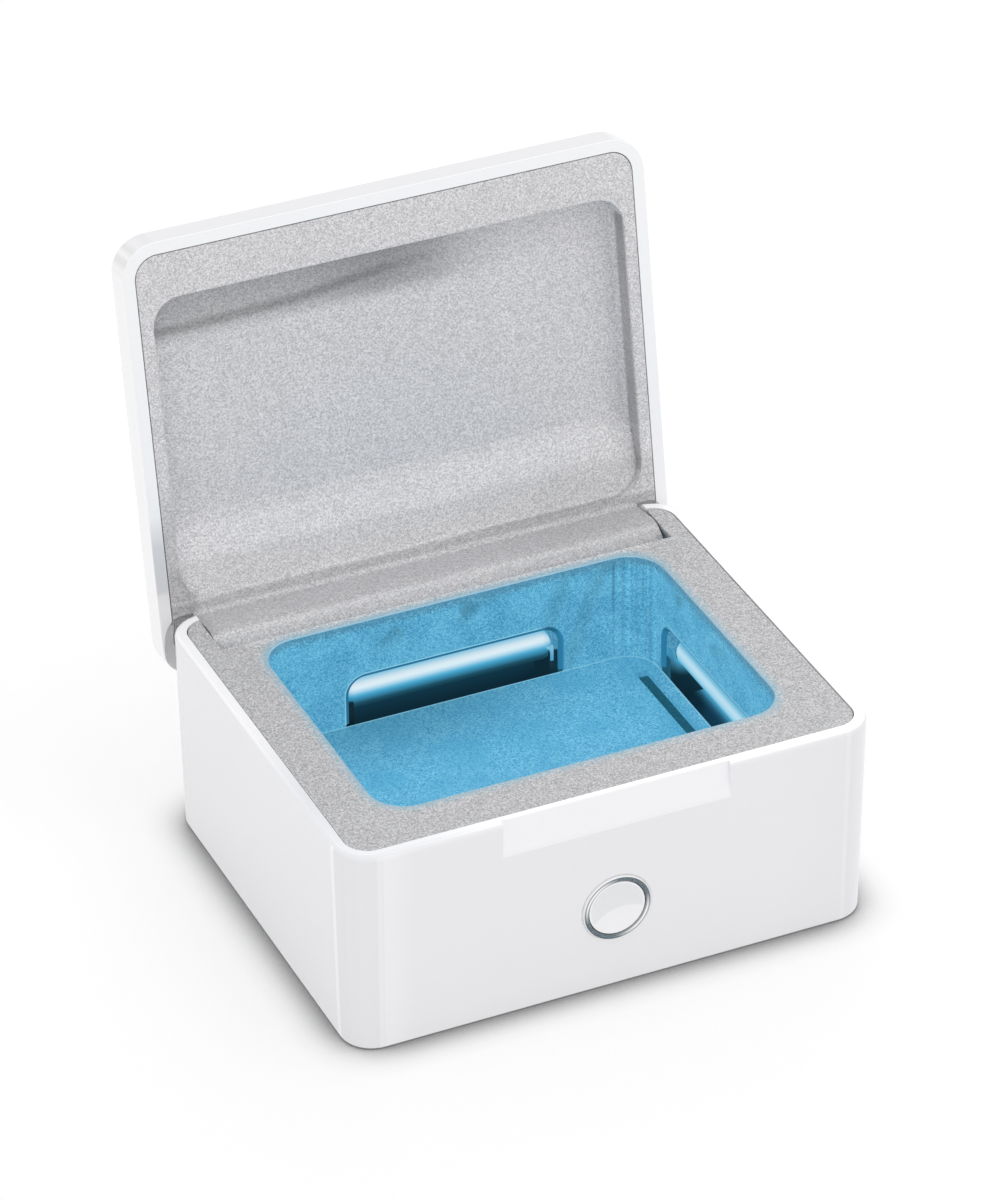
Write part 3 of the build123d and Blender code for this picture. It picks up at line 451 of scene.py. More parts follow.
def recess_shadow(shader, x, back, rise):
    """The shadow that the recess's front edge lays on its floor, with a darker lower edge."""
    below = shader.less(back, SHADOW_START)
    on_floor = shader.ramp(rise, LID_RIM + 0.9 * MM, LID_RIM + 1.2 * MM)
    in_recess = shader.times(on_floor, shader.drop(below, 7.0 * MM, 11.5 * MM))
    edge_at = shader.times(shader.curve(x, SHADOW_DRIFT), 10 * MM)
    off_edge = shader.unsigned(shader.less(below, edge_at))
    edge = shader.times(shader.drop(off_edge, 0.2 * MM, 2.0 * MM), shader.curve(x, SHADOW_EDGE))
    return shader.times(in_recess, shader.plus(shader.curve(x, SHADOW_DEPTH), edge))


def lid_shade(shader):
    """How the lid's moulded forms darken and lighten the paint, along the lid and across it."""
    x = shader.axes()[X_AXIS]
    back, rise = lid_axes(shader)
    shade = shader.curve(back, LID_BANDS)
    right = shader.times(shader.ramp(back, -25 * MM, -18 * MM), shader.ramp(x, 5 * MM, 45 * MM))
    shade = shader.darker(shade, right, RIGHT_DARK)
    shade = shader.darker(shade, recess_shadow(shader, x, back, rise), 1.0)
    wall = shader.times(
        shader.ramp(x, 54.9 * MM, 55.2 * MM),
        shader.ramp(rise, LID_RIM + 0.5 * MM, LID_RIM + 0.8 * MM),
        shader.curve(back, WALL_SHADE),
    )
    shade = shader.darker(shade, wall, WALL_DARK)
    middle = (0.0, 0.5 * (RECESS_FRONT + RECESS_BACK))
    half = (RECESS_HALF, 0.5 * (RECESS_BACK - RECESS_FRONT))
    outside = shader.rounded(x, back, middle, half, RECESS_CORNER)[0]
    outline = shader.times(
        shader.near(outside, 0.0, 0.5 * MM),
        shader.ramp(back, -60 * MM, -24 * MM, 0.4, 1.0),
        shader.ramp(x, -10 * MM, 40 * MM, 0.45, 1.0),
    )
    shade = shader.darker(shade, outline, OUTLINE_DARK)
    border = shader.times(
        shader.ramp(outside, 0.0, 0.4 * MM),
        shader.drop(x, -54 * MM, -50 * MM),
        shader.curve(back, BORDER_SHADE),
    )
    return shader.darker(shade, border, 1.0)


def speckled_grey():
    """Silver grey paint with a fine bright and dark grain, and the lid's painted shade."""
    shader = Shader("speckled_grey")
    grain = grain_of(shader)
    cloud = shader.ramp(shader.noise(14 * MM), 0.35, 0.65, 0.0, 0.07)
    colour = shader.mix(cloud, shader.mix(grain, *SILVER), SILVER_CLOUD)
    colour = shader.scale(colour, lid_shade(shader))
    # light from the chamber cools the tongue and the border beside it
    near_hinge = shader.ramp(lid_axes(shader)[0], -11 * MM, -8 * MM)
    colour = shader.vector("MULTIPLY", colour, shader.mix(near_hinge, SAME, NEAR_HINGE_TINT))
    normal = shader.bump(grain, *GRAIN_BUMP)
    return shader.finish(Base_Color=colour, Roughness=0.5, Normal=normal, Specular_IOR_Level=0.35)


# ---------------------------------------------------------------- lit chamber

# painted lamp light: the chamber's blues stand for the lamps' light on the liner's grey paint
CHAMBER_BLUE = linear(90, 176, 212)
DEEP_BLUE = linear(56, 144, 186)
# painted shade on the foot of the bays' ends
TEAL = linear(34, 92, 114)
GLOW = linear(140, 184, 202)
# painted highlight on the mouth's lip
LIP_HIGHLIGHT = linear(190, 220, 232)
# painted shade at the top of the bays' ends
BAY_CEILING = linear(24, 74, 98)
# painted shade in the trough
TROUGH_GREY = linear(112, 128, 138)
# each pair is the grain's dark and bright colour
DECK = (linear(148, 148, 150), linear(221, 221, 223))
WALL = (linear(34, 120, 164), linear(138, 212, 236))
# the band under the mouth, in painted shade
MOUTH = (linear(66, 124, 154), linear(104, 158, 184))
# painted shade on all under the tray
UNDER_TRAY = (linear(26, 78, 98), linear(42, 106, 128))
TRAY = (linear(48, 138, 184), linear(130, 208, 236))
TRAY_CLOUD = linear(72, 160, 202)
TRAY_EDGE_HIGHLIGHT = linear(150, 214, 236)
# the shares of the blue that the liner's paint holds and gives out as light
LINER_HELD, LINER_LIT = 0.30, 0.79
HALO_LIT = 0.03
# painted reflection streaks round the chamber's back corner
CORNER_STREAK_SCALE = 5.0
# how much darker painted shade makes the corner's edge, the streak line in its round, the beams and the spots
# on the walls
EDGE_DARK, STREAK_LINE_DARK, BEAM_DARK, SPOT_DARK = 0.34, 0.24, 0.14, 0.36
# how much painted light lifts the deck beside the tongue
DECK_LIGHTER = 0.26
# the tray's painted light, how much its painted shadow takes at the back, and the shares that it holds and
# gives out
TRAY_BRIGHT, TRAY_BACK_SHADOW = 1.06, 0.30
TRAY_HELD, TRAY_LIT = 0.35, 0.66


def deck_grey(shader, grain, down, x, y):
    """The paint outside the chamber: painted light beside the tongue, painted shade in the trough."""
    beside = shader.times(
        shader.ramp(y, 32 * MM, 35 * MM),
        shader.drop(y, 38 * MM, 39 * MM),
        shader.drop(shader.unsigned(x), *TONGUE_HALF),
    )
    grey = shader.scale(shader.mix(grain, *DECK), shader.plus(1.0, shader.times(beside, DECK_LIGHTER)))
    return shader.mix(shader.ramp(down, 0.1 * MM, 1.5 * MM), grey, TROUGH_GREY)


def wall_shade(shader, down, x, y, past_x, past_y):
    """Painted reflection streaks and shade in the back corner, and spots of painted shade under the mouth."""
    at_back = shader.times(shader.ramp(x, 0.0, 20 * MM), shader.ramp(y, 0.0, 20 * MM))
    turn = shader.calc("ARCTAN2", past_y, past_x)
    inputs = {"Vector": shader.flat(turn), "Scale": CORNER_STREAK_SCALE, "Detail": 2.0}
    corner_streaks = shader.node("TexNoise", inputs).outputs["Fac"]
    arc = shader.times(shader.ramp(past_x, -0.2 * MM, 0.2 * MM), shader.ramp(past_y, -0.2 * MM, 0.2 * MM))
    shade = shader.mix(shader.times(at_back, arc), SAME, shader.ramp(corner_streaks, 0.35, 0.65, 0.90, 1.16))
    upper = shader.ramp(down, 5 * MM, 19 * MM, 1.0, 0.15)
    edge = shader.times(at_back, upper, shader.near(past_x, 0.0, 0.5 * MM))
    shade = shader.darker(shade, edge, EDGE_DARK)
    streak_line = shader.times(at_back, arc, upper, shader.near(turn, 0.72, 0.05))
    shade = shader.darker(shade, streak_line, STREAK_LINE_DARK)
    slant = shader.plus(past_x, shader.times(down, 0.35))
    beams = shader.plus(shader.near(slant, -2.5 * MM, 3.0 * MM), shader.near(slant, -11.0 * MM, 2.6 * MM))
    beams = shader.times(at_back, beams, shader.ramp(past_y, 0.0, 6 * MM))
    shade = shader.darker(shade, beams, BEAM_DARK)
    spots = shader.ramp(shader.noise(11 * MM, detail=1.0), 0.54, 0.66)
    spots = shader.times(spots, shader.drop(down, 3 * MM, 10 * MM))
    return shader.darker(shade, spots, SPOT_DARK)


def wall_blue(shader, grain, shade, down, y):
    """The chamber's walls, clouded and speckled, with painted shade and a painted highlight at the mouth."""
    cloud = shader.ramp(shader.noise(8 * MM), 0.38, 0.62)
    blue = shader.mix(0.6, shader.mix(cloud, DEEP_BLUE, CHAMBER_BLUE), shader.mix(grain, *WALL))
    blue = shader.vector("MULTIPLY", blue, shade)
    # painted shade: a duller, greyer band just under the mouth, where less lamp light is painted
    ragged = shader.plus(down, shader.times(grain, 2.0 * MM))
    dull = shader.ramp(ragged, 2.4 * MM, 3.6 * MM, 0.85, 0.0)
    blue = shader.mix(dull, blue, shader.mix(grain, *MOUTH))
    # painted highlight on the mouth's lip
    lip = shader.times(shader.near(down, 0.2 * MM, 0.2 * MM), shader.ramp(y, 20 * MM, 30 * MM), 0.55)
    return shader.mix(lip, blue, LIP_HIGHLIGHT)


def low_blue(shader, grain, blue, outside, z):
    """The bays' ends, lit, with painted shade on their foot and top, and painted shade on all under the tray.
    """
    below_bay_top = shader.drop(z, BAY_TOP + 0.05 * MM, BAY_TOP + 0.15 * MM)
    in_bay = shader.times(shader.ramp(outside, 0.1 * MM, 0.4 * MM), below_bay_top)
    end_wall = shader.mix(shader.ramp(z, 25.1 * MM, 25.6 * MM), TEAL, shader.scale(blue, 0.82))
    end_wall = shader.mix(shader.ramp(z, 32.2 * MM, 34.6 * MM), end_wall, BAY_CEILING)
    blue = shader.mix(in_bay, blue, end_wall)
    under = shader.drop(z, TRAY_TOP - 2.0 * MM, TRAY_TOP - 0.5 * MM)
    return shader.mix(under, blue, shader.mix(grain, *UNDER_TRAY))


def lit_liner():
    """The same paint on the base's liner, with painted lamp light: blue in the chamber, a glow round its
    mouth.
    """
    shader = Shader("lit_liner")
    x, y, z = shader.axes()
    grain = grain_of(shader)
    outside, past_x, past_y = shader.rounded(x, y, CHAMBER_CENTRE, CHAMBER_HALF, CHAMBER_CORNER)
    down = shader.less(DECK_Z, z)
    shade = wall_shade(shader, down, x, y, past_x, past_y)
    blue = low_blue(shader, grain, wall_blue(shader, grain, shade, down, y), outside, z)
    # the blue is kept to the chamber and to the bays' rooms, inside the case's walls
    in_chamber = shader.drop(outside, 0.5 * MM, 0.7 * MM)
    in_rooms = shader.times(
        shader.drop(z, BAY_TOP + 0.1 * MM, BAY_TOP + 0.3 * MM),
        shader.drop(shader.unsigned(x), 57.0 * MM, 57.4 * MM),
        shader.drop(y, 43.9 * MM, 44.2 * MM),
    )
    below_deck = shader.ramp(down, 0.05 * MM, 0.15 * MM)
    inside = shader.times(below_deck, shader.calc("MAXIMUM", in_chamber, in_rooms))
    # the glow on the deck falls off from the mouth
    spread = shader.plus(shader.calc("MAXIMUM", outside, 0.0), shader.times(grain, 2.2 * MM))
    halo = shader.ramp(spread, 0.6 * MM, 4.0 * MM, 0.9, 0.0)
    deck = shader.mix(halo, deck_grey(shader, grain, down, x, y), GLOW)
    deck_light = shader.mix(halo, BLACK, shader.scale(GLOW, HALO_LIT))
    return shader.finish(
        Base_Color=shader.mix(inside, deck, shader.scale(blue, LINER_HELD)),
        Roughness=0.5,
        Normal=shader.bump(grain, *GRAIN_BUMP),
        Specular_IOR_Level=0.3,
        Emission_Color=shader.mix(inside, deck_light, shader.scale(blue, LINER_LIT)),
        Emission_Strength=1.0,
    )


def frosted_tray():
    """The lit tray plate: painted shadow under the back lamp, painted highlight along its edges."""
    shader = Shader("frosted_tray")
    x, y, _ = shader.axes()
    cloud = shader.ramp(shader.noise(12 * MM), 0.38, 0.62, 0.0, 0.4)
    colour = shader.mix(cloud, shader.mix(grain_of(shader), *TRAY), TRAY_CLOUD)
    # painted shadow of the back lamp's bay, deepest towards the back left
    behind = shader.times(shader.ramp(y, 6 * MM, 30 * MM), shader.ramp(x, -10 * MM, 30 * MM, 1.0, 0.35))
    colour = shader.scale(colour, shader.less(TRAY_BRIGHT, shader.times(behind, TRAY_BACK_SHADOW)))
    outside = shader.rounded(x, y, CHAMBER_CENTRE, TRAY_HALF, TRAY_CORNER)[0]
    # painted highlight along the tray's edges
    edge = shader.times(shader.ramp(outside, -0.45 * MM, -0.25 * MM), 0.6)
    colour = shader.mix(edge, colour, TRAY_EDGE_HIGHLIGHT)
    return shader.finish(
        Base_Color=shader.scale(colour, TRAY_HELD),
        Roughness=0.35,
        Emission_Color=shader.scale(colour, TRAY_LIT),
        Emission_Strength=1.0,
    )


# ---------------------------------------------------------------- lamps and what holds them

# a lamp's colour by the angle round it, in degrees from its top
# the glow is brightest in a painted highlight towards the top and falls to painted shade underneath
BACK_GLOW = (
    (5, linear(122, 192, 221)),
    (20, linear(177, 216, 234)),
    (30, linear(208, 231, 242)),
    (40, linear(225, 239, 246)),
    (50, linear(212, 234, 243)),
    (60, linear(170, 213, 232)),
    (72, linear(92, 177, 213)),
    (80, linear(61, 152, 191)),
    (100, linear(34, 92, 115)),
    (110, linear(27, 74, 93)),
    (150, linear(14, 42, 54)),
)
SIDE_GLOW = (
    (40, linear(90, 172, 208)),
    (50, linear(122, 191, 219)),
    (63, linear(182, 219, 235)),
    (73, linear(190, 222, 236)),
    (100, linear(132, 196, 222)),
    (112, linear(98, 178, 212)),
    (125, linear(80, 168, 206)),
    (150, linear(50, 134, 170)),
)
TUBE_END = linear(60, 150, 192)
# how a lamp's light falls off on the side sheet, and on the side holders from the tube's middle
SHEET_GLOW = ((0.0, 1.0), (0.3, 0.66), (0.7, 0.38), (1.2, 0.18), (1.8, 0.06), (2.6, 0.0))
HOLDER_GLOW = ((LAMP_RADIUS / MM, 1.0), (3.9, 0.78), (4.4, 0.52), (5.0, 0.30), (5.8, 0.10), (6.6, 0.0))
# painted shade: the sheets' dark metal stands for the shade behind and under the lamps
SHEET_METAL = linear(30, 64, 80)
# each pair is a sheet's colour in the dark and in the lamp's light
BACK_SHEET = (linear(14, 40, 52), linear(30, 84, 106))
SIDE_SHEET = (linear(13, 36, 47), linear(77, 166, 204))
# each pair is the grain's dark and bright colour
HOLDER_LIT = (linear(40, 122, 164), linear(74, 160, 200))
HOLDER_FOOT = (linear(24, 74, 96), linear(40, 102, 124))
# a holder's face in painted shade: from the left to the right one at the back, and away from and at the
# lamp's light
BACK_HOLDER_FACE = (linear(6, 19, 26), linear(14, 40, 52))
SIDE_HOLDER_FACE = (linear(14, 40, 52), linear(84, 172, 208))
BACK_HOLDER_LIT_FROM = 25.4 * MM
SIDE_HOLDER_LIT_FROM = 22.8 * MM


def glowing_tube(name, along, across, middle, centre_side, glow):
    """A lit lamp along one axis: the colour follows the angle round the tube and fades at its ends."""
    shader = Shader(name)
    axes = shader.axes()
    up = shader.less(axes[Z_AXIS], LAMP_HEIGHT)
    out = shader.less(centre_side, axes[across])
    angle = shader.unsigned(shader.calc("ARCTAN2", out, up))
    colour = shader.stops(angle, [(math.radians(degrees), tone) for degrees, tone in glow])
    fade = shader.ramp(shader.unsigned(shader.less(axes[along], middle)), *LAMP_END, 0.0, 0.8)
    colour = shader.mix(fade, colour, shader.mix(0.5, colour, TUBE_END))
    return shader.finish_lit(colour, share=0.1, strength=0.92, roughness=0.12)


def finish_sheet(shader, colour):
    """The metal behind and under a lamp, dark with painted shade, with the lamp's light on it."""
    return shader.finish(
        Base_Color=SHEET_METAL, Roughness=0.3, Metallic=0.6, Emission_Color=colour, Emission_Strength=0.7
    )


def back_sheet():
    """The sheet behind the back lamp, bluer towards its top."""
    shader = Shader("back_sheet")
    glow = shader.ramp(shader.axes()[Z_AXIS], 16 * MM, 21 * MM, 0.0, 0.35)
    return finish_sheet(shader, shader.mix(glow, *BACK_SHEET))


def side_sheet():
    """The sheet behind the side lamp, bluer along its inner edge."""
    shader = Shader("side_sheet")
    inner = shader.less(SIDE_SHEET_X, shader.axes()[X_AXIS])
    return finish_sheet(shader, shader.mix(shader.curve(inner, SHEET_GLOW), *SIDE_SHEET))


def lit_end(shader, face, place, lit_from):
    """A holder's colour: its face, and beyond a line the lit end wall's colour above a shaded foot."""
    grain = grain_of(shader)
    split = shader.ramp(shader.axes()[Z_AXIS], HOLDER_SPLIT - 0.2 * MM, HOLDER_SPLIT + 0.2 * MM)
    lit = shader.mix(split, shader.mix(grain, *HOLDER_FOOT), shader.mix(grain, *HOLDER_LIT))
    colour = shader.mix(shader.ramp(place, lit_from, lit_from + 0.4 * MM), face, lit)
    return shader.finish_lit(colour, share=0.3, strength=0.8, roughness=0.4)


def back_holder():
    """The saddles of the back lamp in painted shade, the left one darker."""
    shader = Shader("back_holder")
    x = shader.axes()[X_AXIS]
    face = shader.mix(shader.ramp(x, -1 * MM, 1 * MM), *BACK_HOLDER_FACE)
    return lit_end(shader, face, x, BACK_HOLDER_LIT_FROM)


def side_holder():
    """The saddles of the side lamp, with light from the tube on their faces."""
    shader = Shader("side_holder")
    x, y, z = shader.axes()
    off = shader.flat(shader.less(x, SIDE_LAMP_X), shader.less(z, LAMP_HEIGHT))
    glow = shader.curve(shader.vector("LENGTH", off, out="Value"), HOLDER_GLOW)
    return lit_end(shader, shader.mix(glow, *SIDE_HOLDER_FACE), y, SIDE_HOLDER_LIT_FROM)


# ---------------------------------------------------------------- button

# painted reflections in the chrome: bright and dark quarters by the angle, darker at its edges
CHROME_BRIGHT = linear(252, 252, 253)
CHROME_DARK = (linear(62, 108, 126), linear(138, 137, 138))
CHROME_EDGE = linear(112, 118, 122)
CHROME_TURN = math.radians(76)
# the cap's dish: painted light below a curved line and painted shade above it
CAP_LIGHT, CAP_SHADE = linear(250, 250, 252), linear(238, 240, 242)


def on_button(shader):
    """The place across and up from the button's middle, and the distance from it."""
    x, _, z = shader.axes()
    up = shader.less(z, BUTTON_HEIGHT)
    return x, up, shader.vector("LENGTH", shader.flat(x, up), out="Value")


def polished_ring():
    """Chrome with painted reflections: two bright and two dark quarters, dark edges, a painted lip highlight.
    """
    shader = Shader("chrome")
    x, up, radius = on_button(shader)
    turn = shader.calc("ARCTAN2", up, x)
    swing = shader.calc("COSINE", shader.calc("MULTIPLY_ADD", turn, 2.0, CHROME_TURN))
    dark = shader.mix(shader.ramp(shader.noise(0.35 * MM), 0.42, 0.58), *CHROME_DARK)
    core = shader.mix(shader.ramp(swing, -0.55, 0.95), dark, CHROME_BRIGHT)
    edge = shader.calc(
        "MAXIMUM",
        shader.near(radius, RING_INNER + 0.12 * MM, 0.24 * MM),
        shader.near(radius, RING_OUTER - 0.32 * MM, 0.26 * MM),
    )
    colour = shader.mix(shader.times(edge, 0.75), core, CHROME_EDGE)
    lip = shader.ramp(radius, RING_OUTER - 0.18 * MM, RING_OUTER - 0.12 * MM)
    colour = shader.mix(lip, colour, HIGHLIGHT_WHITE)
    return shader.finish(Base_Color=colour, Roughness=0.16, Metallic=shader.ramp(lip, 0.0, 1.0, 0.9, 0.0))


def button_white():
    """The dished cap: painted highlight at its rim, painted light below a curved line, painted shade above.
    """
    shader = Shader("button_white")
    x, up, radius = on_button(shader)
    off = shader.less(x, 2.0 * MM)
    arc = shader.plus(shader.plus(up, 0.4 * MM), shader.times(off, off, 0.047 / MM))
    colour = shader.mix(shader.ramp(arc, -0.3 * MM, 0.3 * MM), CAP_LIGHT, CAP_SHADE)
    colour = shader.mix(shader.ramp(radius, 5.95 * MM, 6.1 * MM), colour, HIGHLIGHT_WHITE)
    grain = shader.noise(0.6 * MM)
    rough = shader.ramp(grain, 0.3, 0.7, 0.2, 0.26)
    return shader.finish(Base_Color=colour, Roughness=rough, Normal=shader.bump(grain, 0.01 * MM, 0.3))


# ---------------------------------------------------------------- inner pieces, and who wears what


def plain(name, colour, roughness, metallic=0.0):
    """A plain moulded or machined finish with its own fine grain."""
    shader = Shader(name)
    grain = shader.noise(0.5 * MM, detail=3.0)
    level = shader.ramp(grain, 0.3, 0.7)
    return shader.finish(
        Base_Color=shader.mix(level, shader.scale(colour, 0.92), colour),
        Roughness=shader.ramp(grain, 0.3, 0.7, roughness * 0.85, min(1.0, roughness * 1.15)),
        Metallic=metallic,
        Normal=shader.bump(grain, 0.02 * MM, 0.4),
    )


dress(base_white(), "base_shell")
dress(lid_white(), "lid_shell")
dress(button_white(), "button_cap")
dress(polished_ring(), "button_ring")
dress(speckled_grey(), "lid_liner")
dress(lit_liner(), "base_liner")
dress(frosted_tray(), "tray")
dress(glowing_tube("back_tube", X_AXIS, Y_AXIS, CHAMBER_CENTRE[0], BACK_LAMP_Y, BACK_GLOW), "back_lamp")
dress(glowing_tube("side_tube", Y_AXIS, X_AXIS, CHAMBER_CENTRE[1], SIDE_LAMP_X, SIDE_GLOW), "side_lamp")
dress(back_holder(), "back_lamp_holders")
dress(side_holder(), "side_lamp_holders")
dress(back_sheet(), "back_reflector")
dress(side_sheet(), "side_reflector")
dress(plain("cover_plastic", linear(212, 214, 217), 0.45), "bottom_cover")
dress(plain("foot_rubber", linear(40, 41, 43), 0.75), "rubber_feet")
dress(plain("heater_sheet", linear(196, 197, 200), 0.35, metallic=1.0), "heater_plate")
dress(plain("solder_mask", linear(24, 92, 58), 0.35), "main_board", "button_board")
dress(plain("sensor_glass", linear(110, 130, 124), 0.1), "lid_sensor")
dress(
    plain("steel", linear(188, 189, 191), 0.3, metallic=1.0),
    "cover_screws", "fan_screws", "board_screws", "hinge_pins", "power_socket", "lid_magnet",
)
dress(
    plain("black_plastic", linear(36, 37, 40), 0.5),
    "thermal_fuse", "fan_housing", "fan_rotor", "lamp_transformers", "supply_capacitor", "control_chip",
    "switch_body", "switch_plunger",
)

# ---------------------------------------------------------------- small pieces of the lamp bays

# in millimetres: the chamber's walls that the bays open in
BACK_WALL = 32.6
SIDE_WALL = 46.4
# the edge's section: the reach out from the arch, and the depth into the wall
EDGE_PROFILE = (
    (0.2, 0.02), (0.15, -0.06), (0.02, -0.08), (-0.08, -0.01), (-0.2, 0.12), (-0.9, 0.4), (-0.95, 0.9),
)
CORNER_STEPS = 12
# each pair is the colour at the end away from the light, and elsewhere
BEAD = (linear(56, 144, 186), linear(140, 206, 230))
CHAMFER = (linear(44, 126, 166), linear(40, 118, 156))
CORNER_SHADE = linear(24, 84, 112)
# the clip's outline across and up, and its front and back, in millimetres
CLIP_OUTLINE = (
    (23.75, 25.1), (24.5, 25.1), (24.5, 32.3), (24.35, 32.5), (24.2, 32.3), (24.2, 28.8), (22.95, 28.8),
    (22.95, 28.35), (23.55, 28.2), (23.75, 27.9),
)
CLIP_DEPTHS = (33.9, 34.6)
# painted lamp light on the clip, brightest beside the tube and darker above it
CLIP_LOW, CLIP_MIDDLE, CLIP_TOP = linear(84, 170, 208), linear(132, 198, 224), linear(64, 150, 190)


def add_piece(name, points, faces, material, smooth=True):
    """A mesh that rides on the base; points in millimetres."""
    mesh = bpy.data.meshes.new(name)
    mesh.from_pydata([tuple(value * MM for value in point) for point in points], [], faces)
    mesh.materials.append(material)
    for polygon in mesh.polygons:
        polygon.use_smooth = smooth
    piece = bpy.data.objects.new(name, mesh)
    bpy.context.scene.collection.objects.link(piece)
    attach(piece, "base")
    return piece


def bay_outline(reach):
    """The bay's arch, from the tray up, over and down, moved outwards by the reach."""
    half, top, radius = BAY_HALF / MM, BAY_TOP / MM, BAY_CORNER / MM
    path = [(-half - reach, TRAY_TOP / MM)]
    for centre, start in ((-half + radius, 180), (half - radius, 90)):
        for step in range(CORNER_STEPS + 1):
            angle = math.radians(start - 90 / CORNER_STEPS * step)
            out = radius + reach
            path.append((centre + out * math.cos(angle), top - radius + out * math.sin(angle)))
    path.append((half + reach, TRAY_TOP / MM))
    return path


def edge_blue(name, wall, depth_axis, across_axis):
    """Bead in painted highlight, chamfer in painted shade; the end away from the light fades, its corner
    shaded.
    """
    shader = Shader(name)
    axes = shader.axes()
    across = axes[across_axis]
    depth = shader.less(axes[depth_axis], wall * MM)
    lit = shader.drop(across, 19 * MM, 23.5 * MM)
    bead, chamfer = shader.mix(lit, *BEAD), shader.mix(lit, *CHAMFER)
    colour = shader.mix(shader.ramp(depth, -0.01 * MM, 0.08 * MM), bead, chamfer)
    high = shader.ramp(axes[Z_AXIS], BAY_TOP - 3.2 * MM, BAY_TOP - 1.2 * MM)
    corner = shader.times(shader.near(across, 23.4 * MM, 2.6 * MM), high, 0.7)
    colour = shader.mix(corner, colour, CORNER_SHADE)
    return shader.finish_lit(colour, share=0.3, strength=0.7, roughness=0.4)


def bay_edge(name, material, place):
    """The rolled edge of a lamp bay: a fine bead on the wall and a chamfer into the bay."""
    rows = [[place(u, w, depth) for u, w in bay_outline(reach)] for reach, depth in EDGE_PROFILE]
    count = len(rows[0])
    points = [point for row in rows for point in row]
    faces = []
    for row in range(len(rows) - 1):
        for step in range(count - 1):
            a = row * count + step
            faces.append((a, a + 1, a + count + 1, a + count))
    add_piece(name, points, faces, material)


def lamp_clip():
    """The bent clip at the back lamp's right end: a post with a hook under the tube."""
    count = len(CLIP_OUTLINE)
    points = [(x, depth, z) for depth in CLIP_DEPTHS for x, z in CLIP_OUTLINE]
    faces = [tuple(range(count)), tuple(range(2 * count - 1, count - 1, -1))]
    for step in range(count):
        after = (step + 1) % count
        faces.append((after, step, count + step, count + after))
    shader = Shader("clip_blue")
    z = shader.axes()[Z_AXIS]
    colour = shader.mix(shader.ramp(z, 25.5 * MM, 28.8 * MM), CLIP_LOW, CLIP_MIDDLE)
    colour = shader.mix(shader.ramp(z, 28.9 * MM, 29.4 * MM), colour, CLIP_TOP)
    material = shader.finish_lit(colour, share=0.3, strength=0.72, roughness=0.3)
    piece = add_piece("back_lamp_clip", points, faces, material, smooth=False)
    bevel = piece.modifiers.new("bevel", "BEVEL")
    bevel.width = 0.12 * MM
    bevel.segments = 2


bay_edge(
    "back_bay_edge",
    edge_blue("back_bay_edge", BACK_WALL, Y_AXIS, X_AXIS),
    lambda u, w, d: (u, BACK_WALL + d, w),
)
bay_edge(
    "side_bay_edge",
    edge_blue("side_bay_edge", SIDE_WALL, X_AXIS, Y_AXIS),
    lambda u, w, d: (SIDE_WALL + d, CHAMBER_CENTRE[1] / MM - u, w),
)
lamp_clip()

# ---------------------------------------------------------------- floor, light and background

FLOOR_BOUNCE = (0.86, 0.86, 0.865, 1.0)
FLOOR_SHOWN = (0.55, 0.55, 0.553, 1.0)
FLOOR_LIFT = 0.45
FLOOR_GLEAM = 0.10
# how the floor darkens near the object, by how open the point is
CONTACT_REACH = 10 * MM
CONTACT_SHADE = ((0.42, 0.22), (0.52, 0.34), (0.66, 0.66), (0.82, 0.90), (1.0, 1.0))
WORLD_LEVEL = 0.92
# each light's name, place, width and height in metres, and power in watts
LIGHTS = (
    ("key", (0.5, -0.15, 1.45), (0.9, 0.9), 2.4),
    ("back", (0.54, 1.19, 0.98), (0.9, 0.5), 1.5),
)
LIT_POINT = (0.0, 0.0, 0.05)


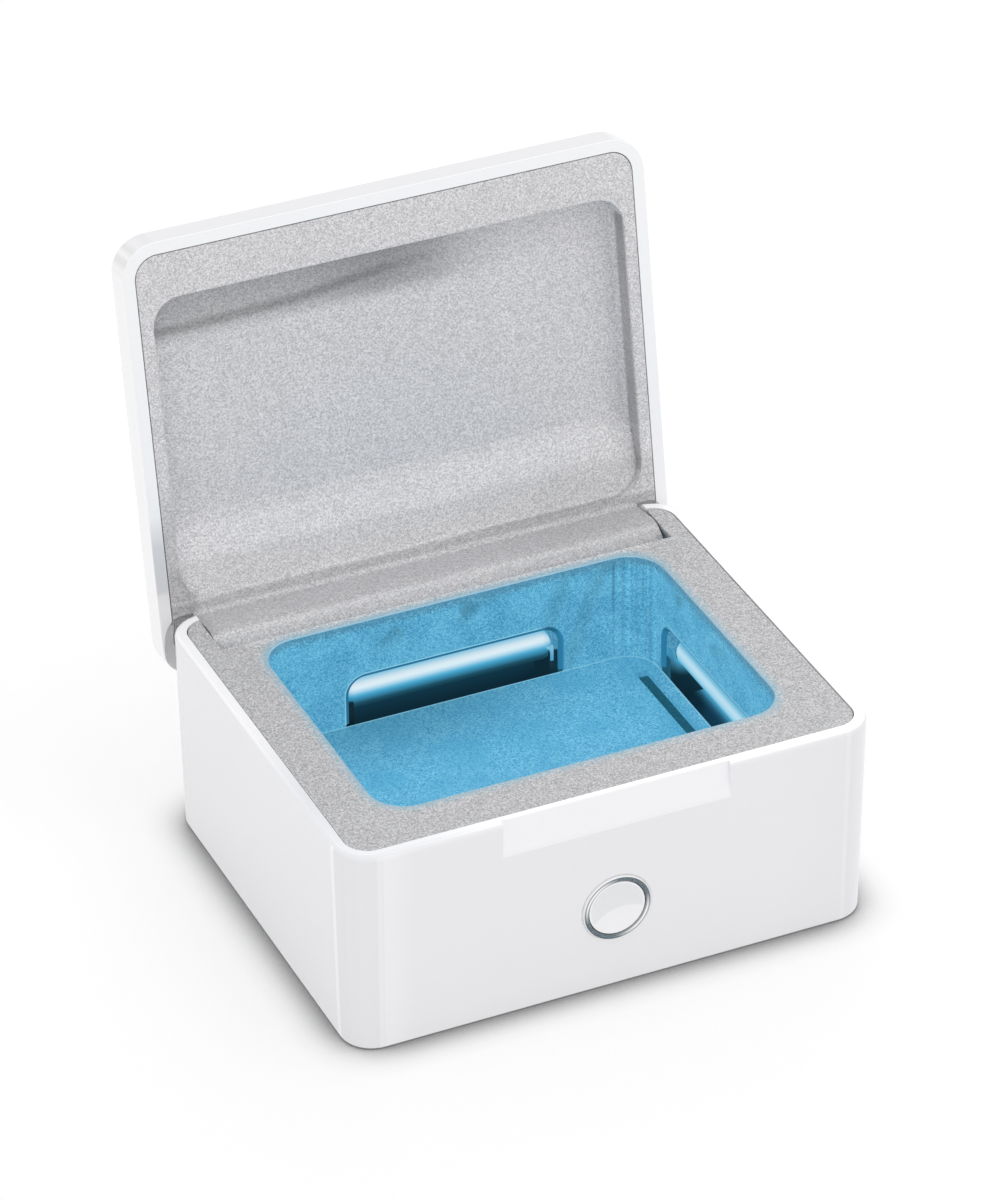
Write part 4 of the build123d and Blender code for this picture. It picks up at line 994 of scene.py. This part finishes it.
def make_floor():
    """A plain pale floor that shows white where no shadow falls, and darkens close to the object."""
    shader = Shader("floor")
    path = shader.node("LightPath").outputs
    openness = shader.node("AmbientOcclusion", {"Distance": CONTACT_REACH}, samples=8).outputs["AO"]
    contact = shader.curve(openness, CONTACT_SHADE, unit=1)

    def lifted(colour, strength):
        """A dull surface of the colour, with a white light of that strength added."""
        dull = shader.node("BsdfDiffuse", {"Color": colour})
        white = shader.node("Emission", {"Color": WHITE, "Strength": strength})
        return shader.node("AddShader", {0: dull.outputs[0], 1: white.outputs[0]}).outputs[0]

    unseen = lifted(FLOOR_BOUNCE, shader.times(path["Is Glossy Ray"], FLOOR_GLEAM))
    shown = lifted(shader.scale(FLOOR_SHOWN, contact), shader.times(contact, FLOOR_LIFT))
    pick = shader.node("MixShader", {0: path["Is Camera Ray"], 1: unseen, 2: shown})
    shader.node("OutputMaterial", {"Surface": pick.outputs[0]})
    mesh = bpy.data.meshes.new("floor")
    corners = [(x * FLOOR_REACH, y * FLOOR_REACH, FLOOR_Z) for x, y in ((-1, -1), (1, -1), (1, 1), (-1, 1))]
    mesh.from_pydata(corners, [], [(0, 1, 2, 3)])
    mesh.materials.append(shader.owner)
    floor = bpy.data.objects.new("floor", mesh)
    bpy.context.scene.collection.objects.link(floor)


def make_light(name, place, size, power):
    data = bpy.data.lights.new(name, "AREA")
    data.shape = "RECTANGLE"
    data.size, data.size_y = size
    data.energy = power
    light = bpy.data.objects.new(name, data)
    light.location = place
    light.rotation_euler = (Vector(LIT_POINT) - Vector(place)).to_track_quat("-Z", "Y").to_euler()
    bpy.context.scene.collection.objects.link(light)


def make_world():
    """Even white light; rays from the camera and in reflections see plain white."""
    world = bpy.data.worlds.new("studio")
    bpy.context.scene.world = world
    shader = Shader("studio", world)
    path = shader.node("LightPath").outputs
    soft = shader.node("Background", {"Color": WHITE, "Strength": WORLD_LEVEL})
    white = shader.node("Background", {"Color": WHITE, "Strength": 1.0})
    through = shader.calc("MAXIMUM", path["Is Glossy Ray"], path["Is Transmission Ray"])
    seen = shader.calc("MAXIMUM", path["Is Camera Ray"], through)
    pick = shader.node("MixShader", {0: seen, 1: soft.outputs[0], 2: white.outputs[0]})
    shader.node("OutputWorld", {"Surface": pick.outputs[0]})


make_floor()
make_world()
for settings in LIGHTS:
    make_light(*settings)

bpy.context.scene.view_settings.view_transform = "Standard"
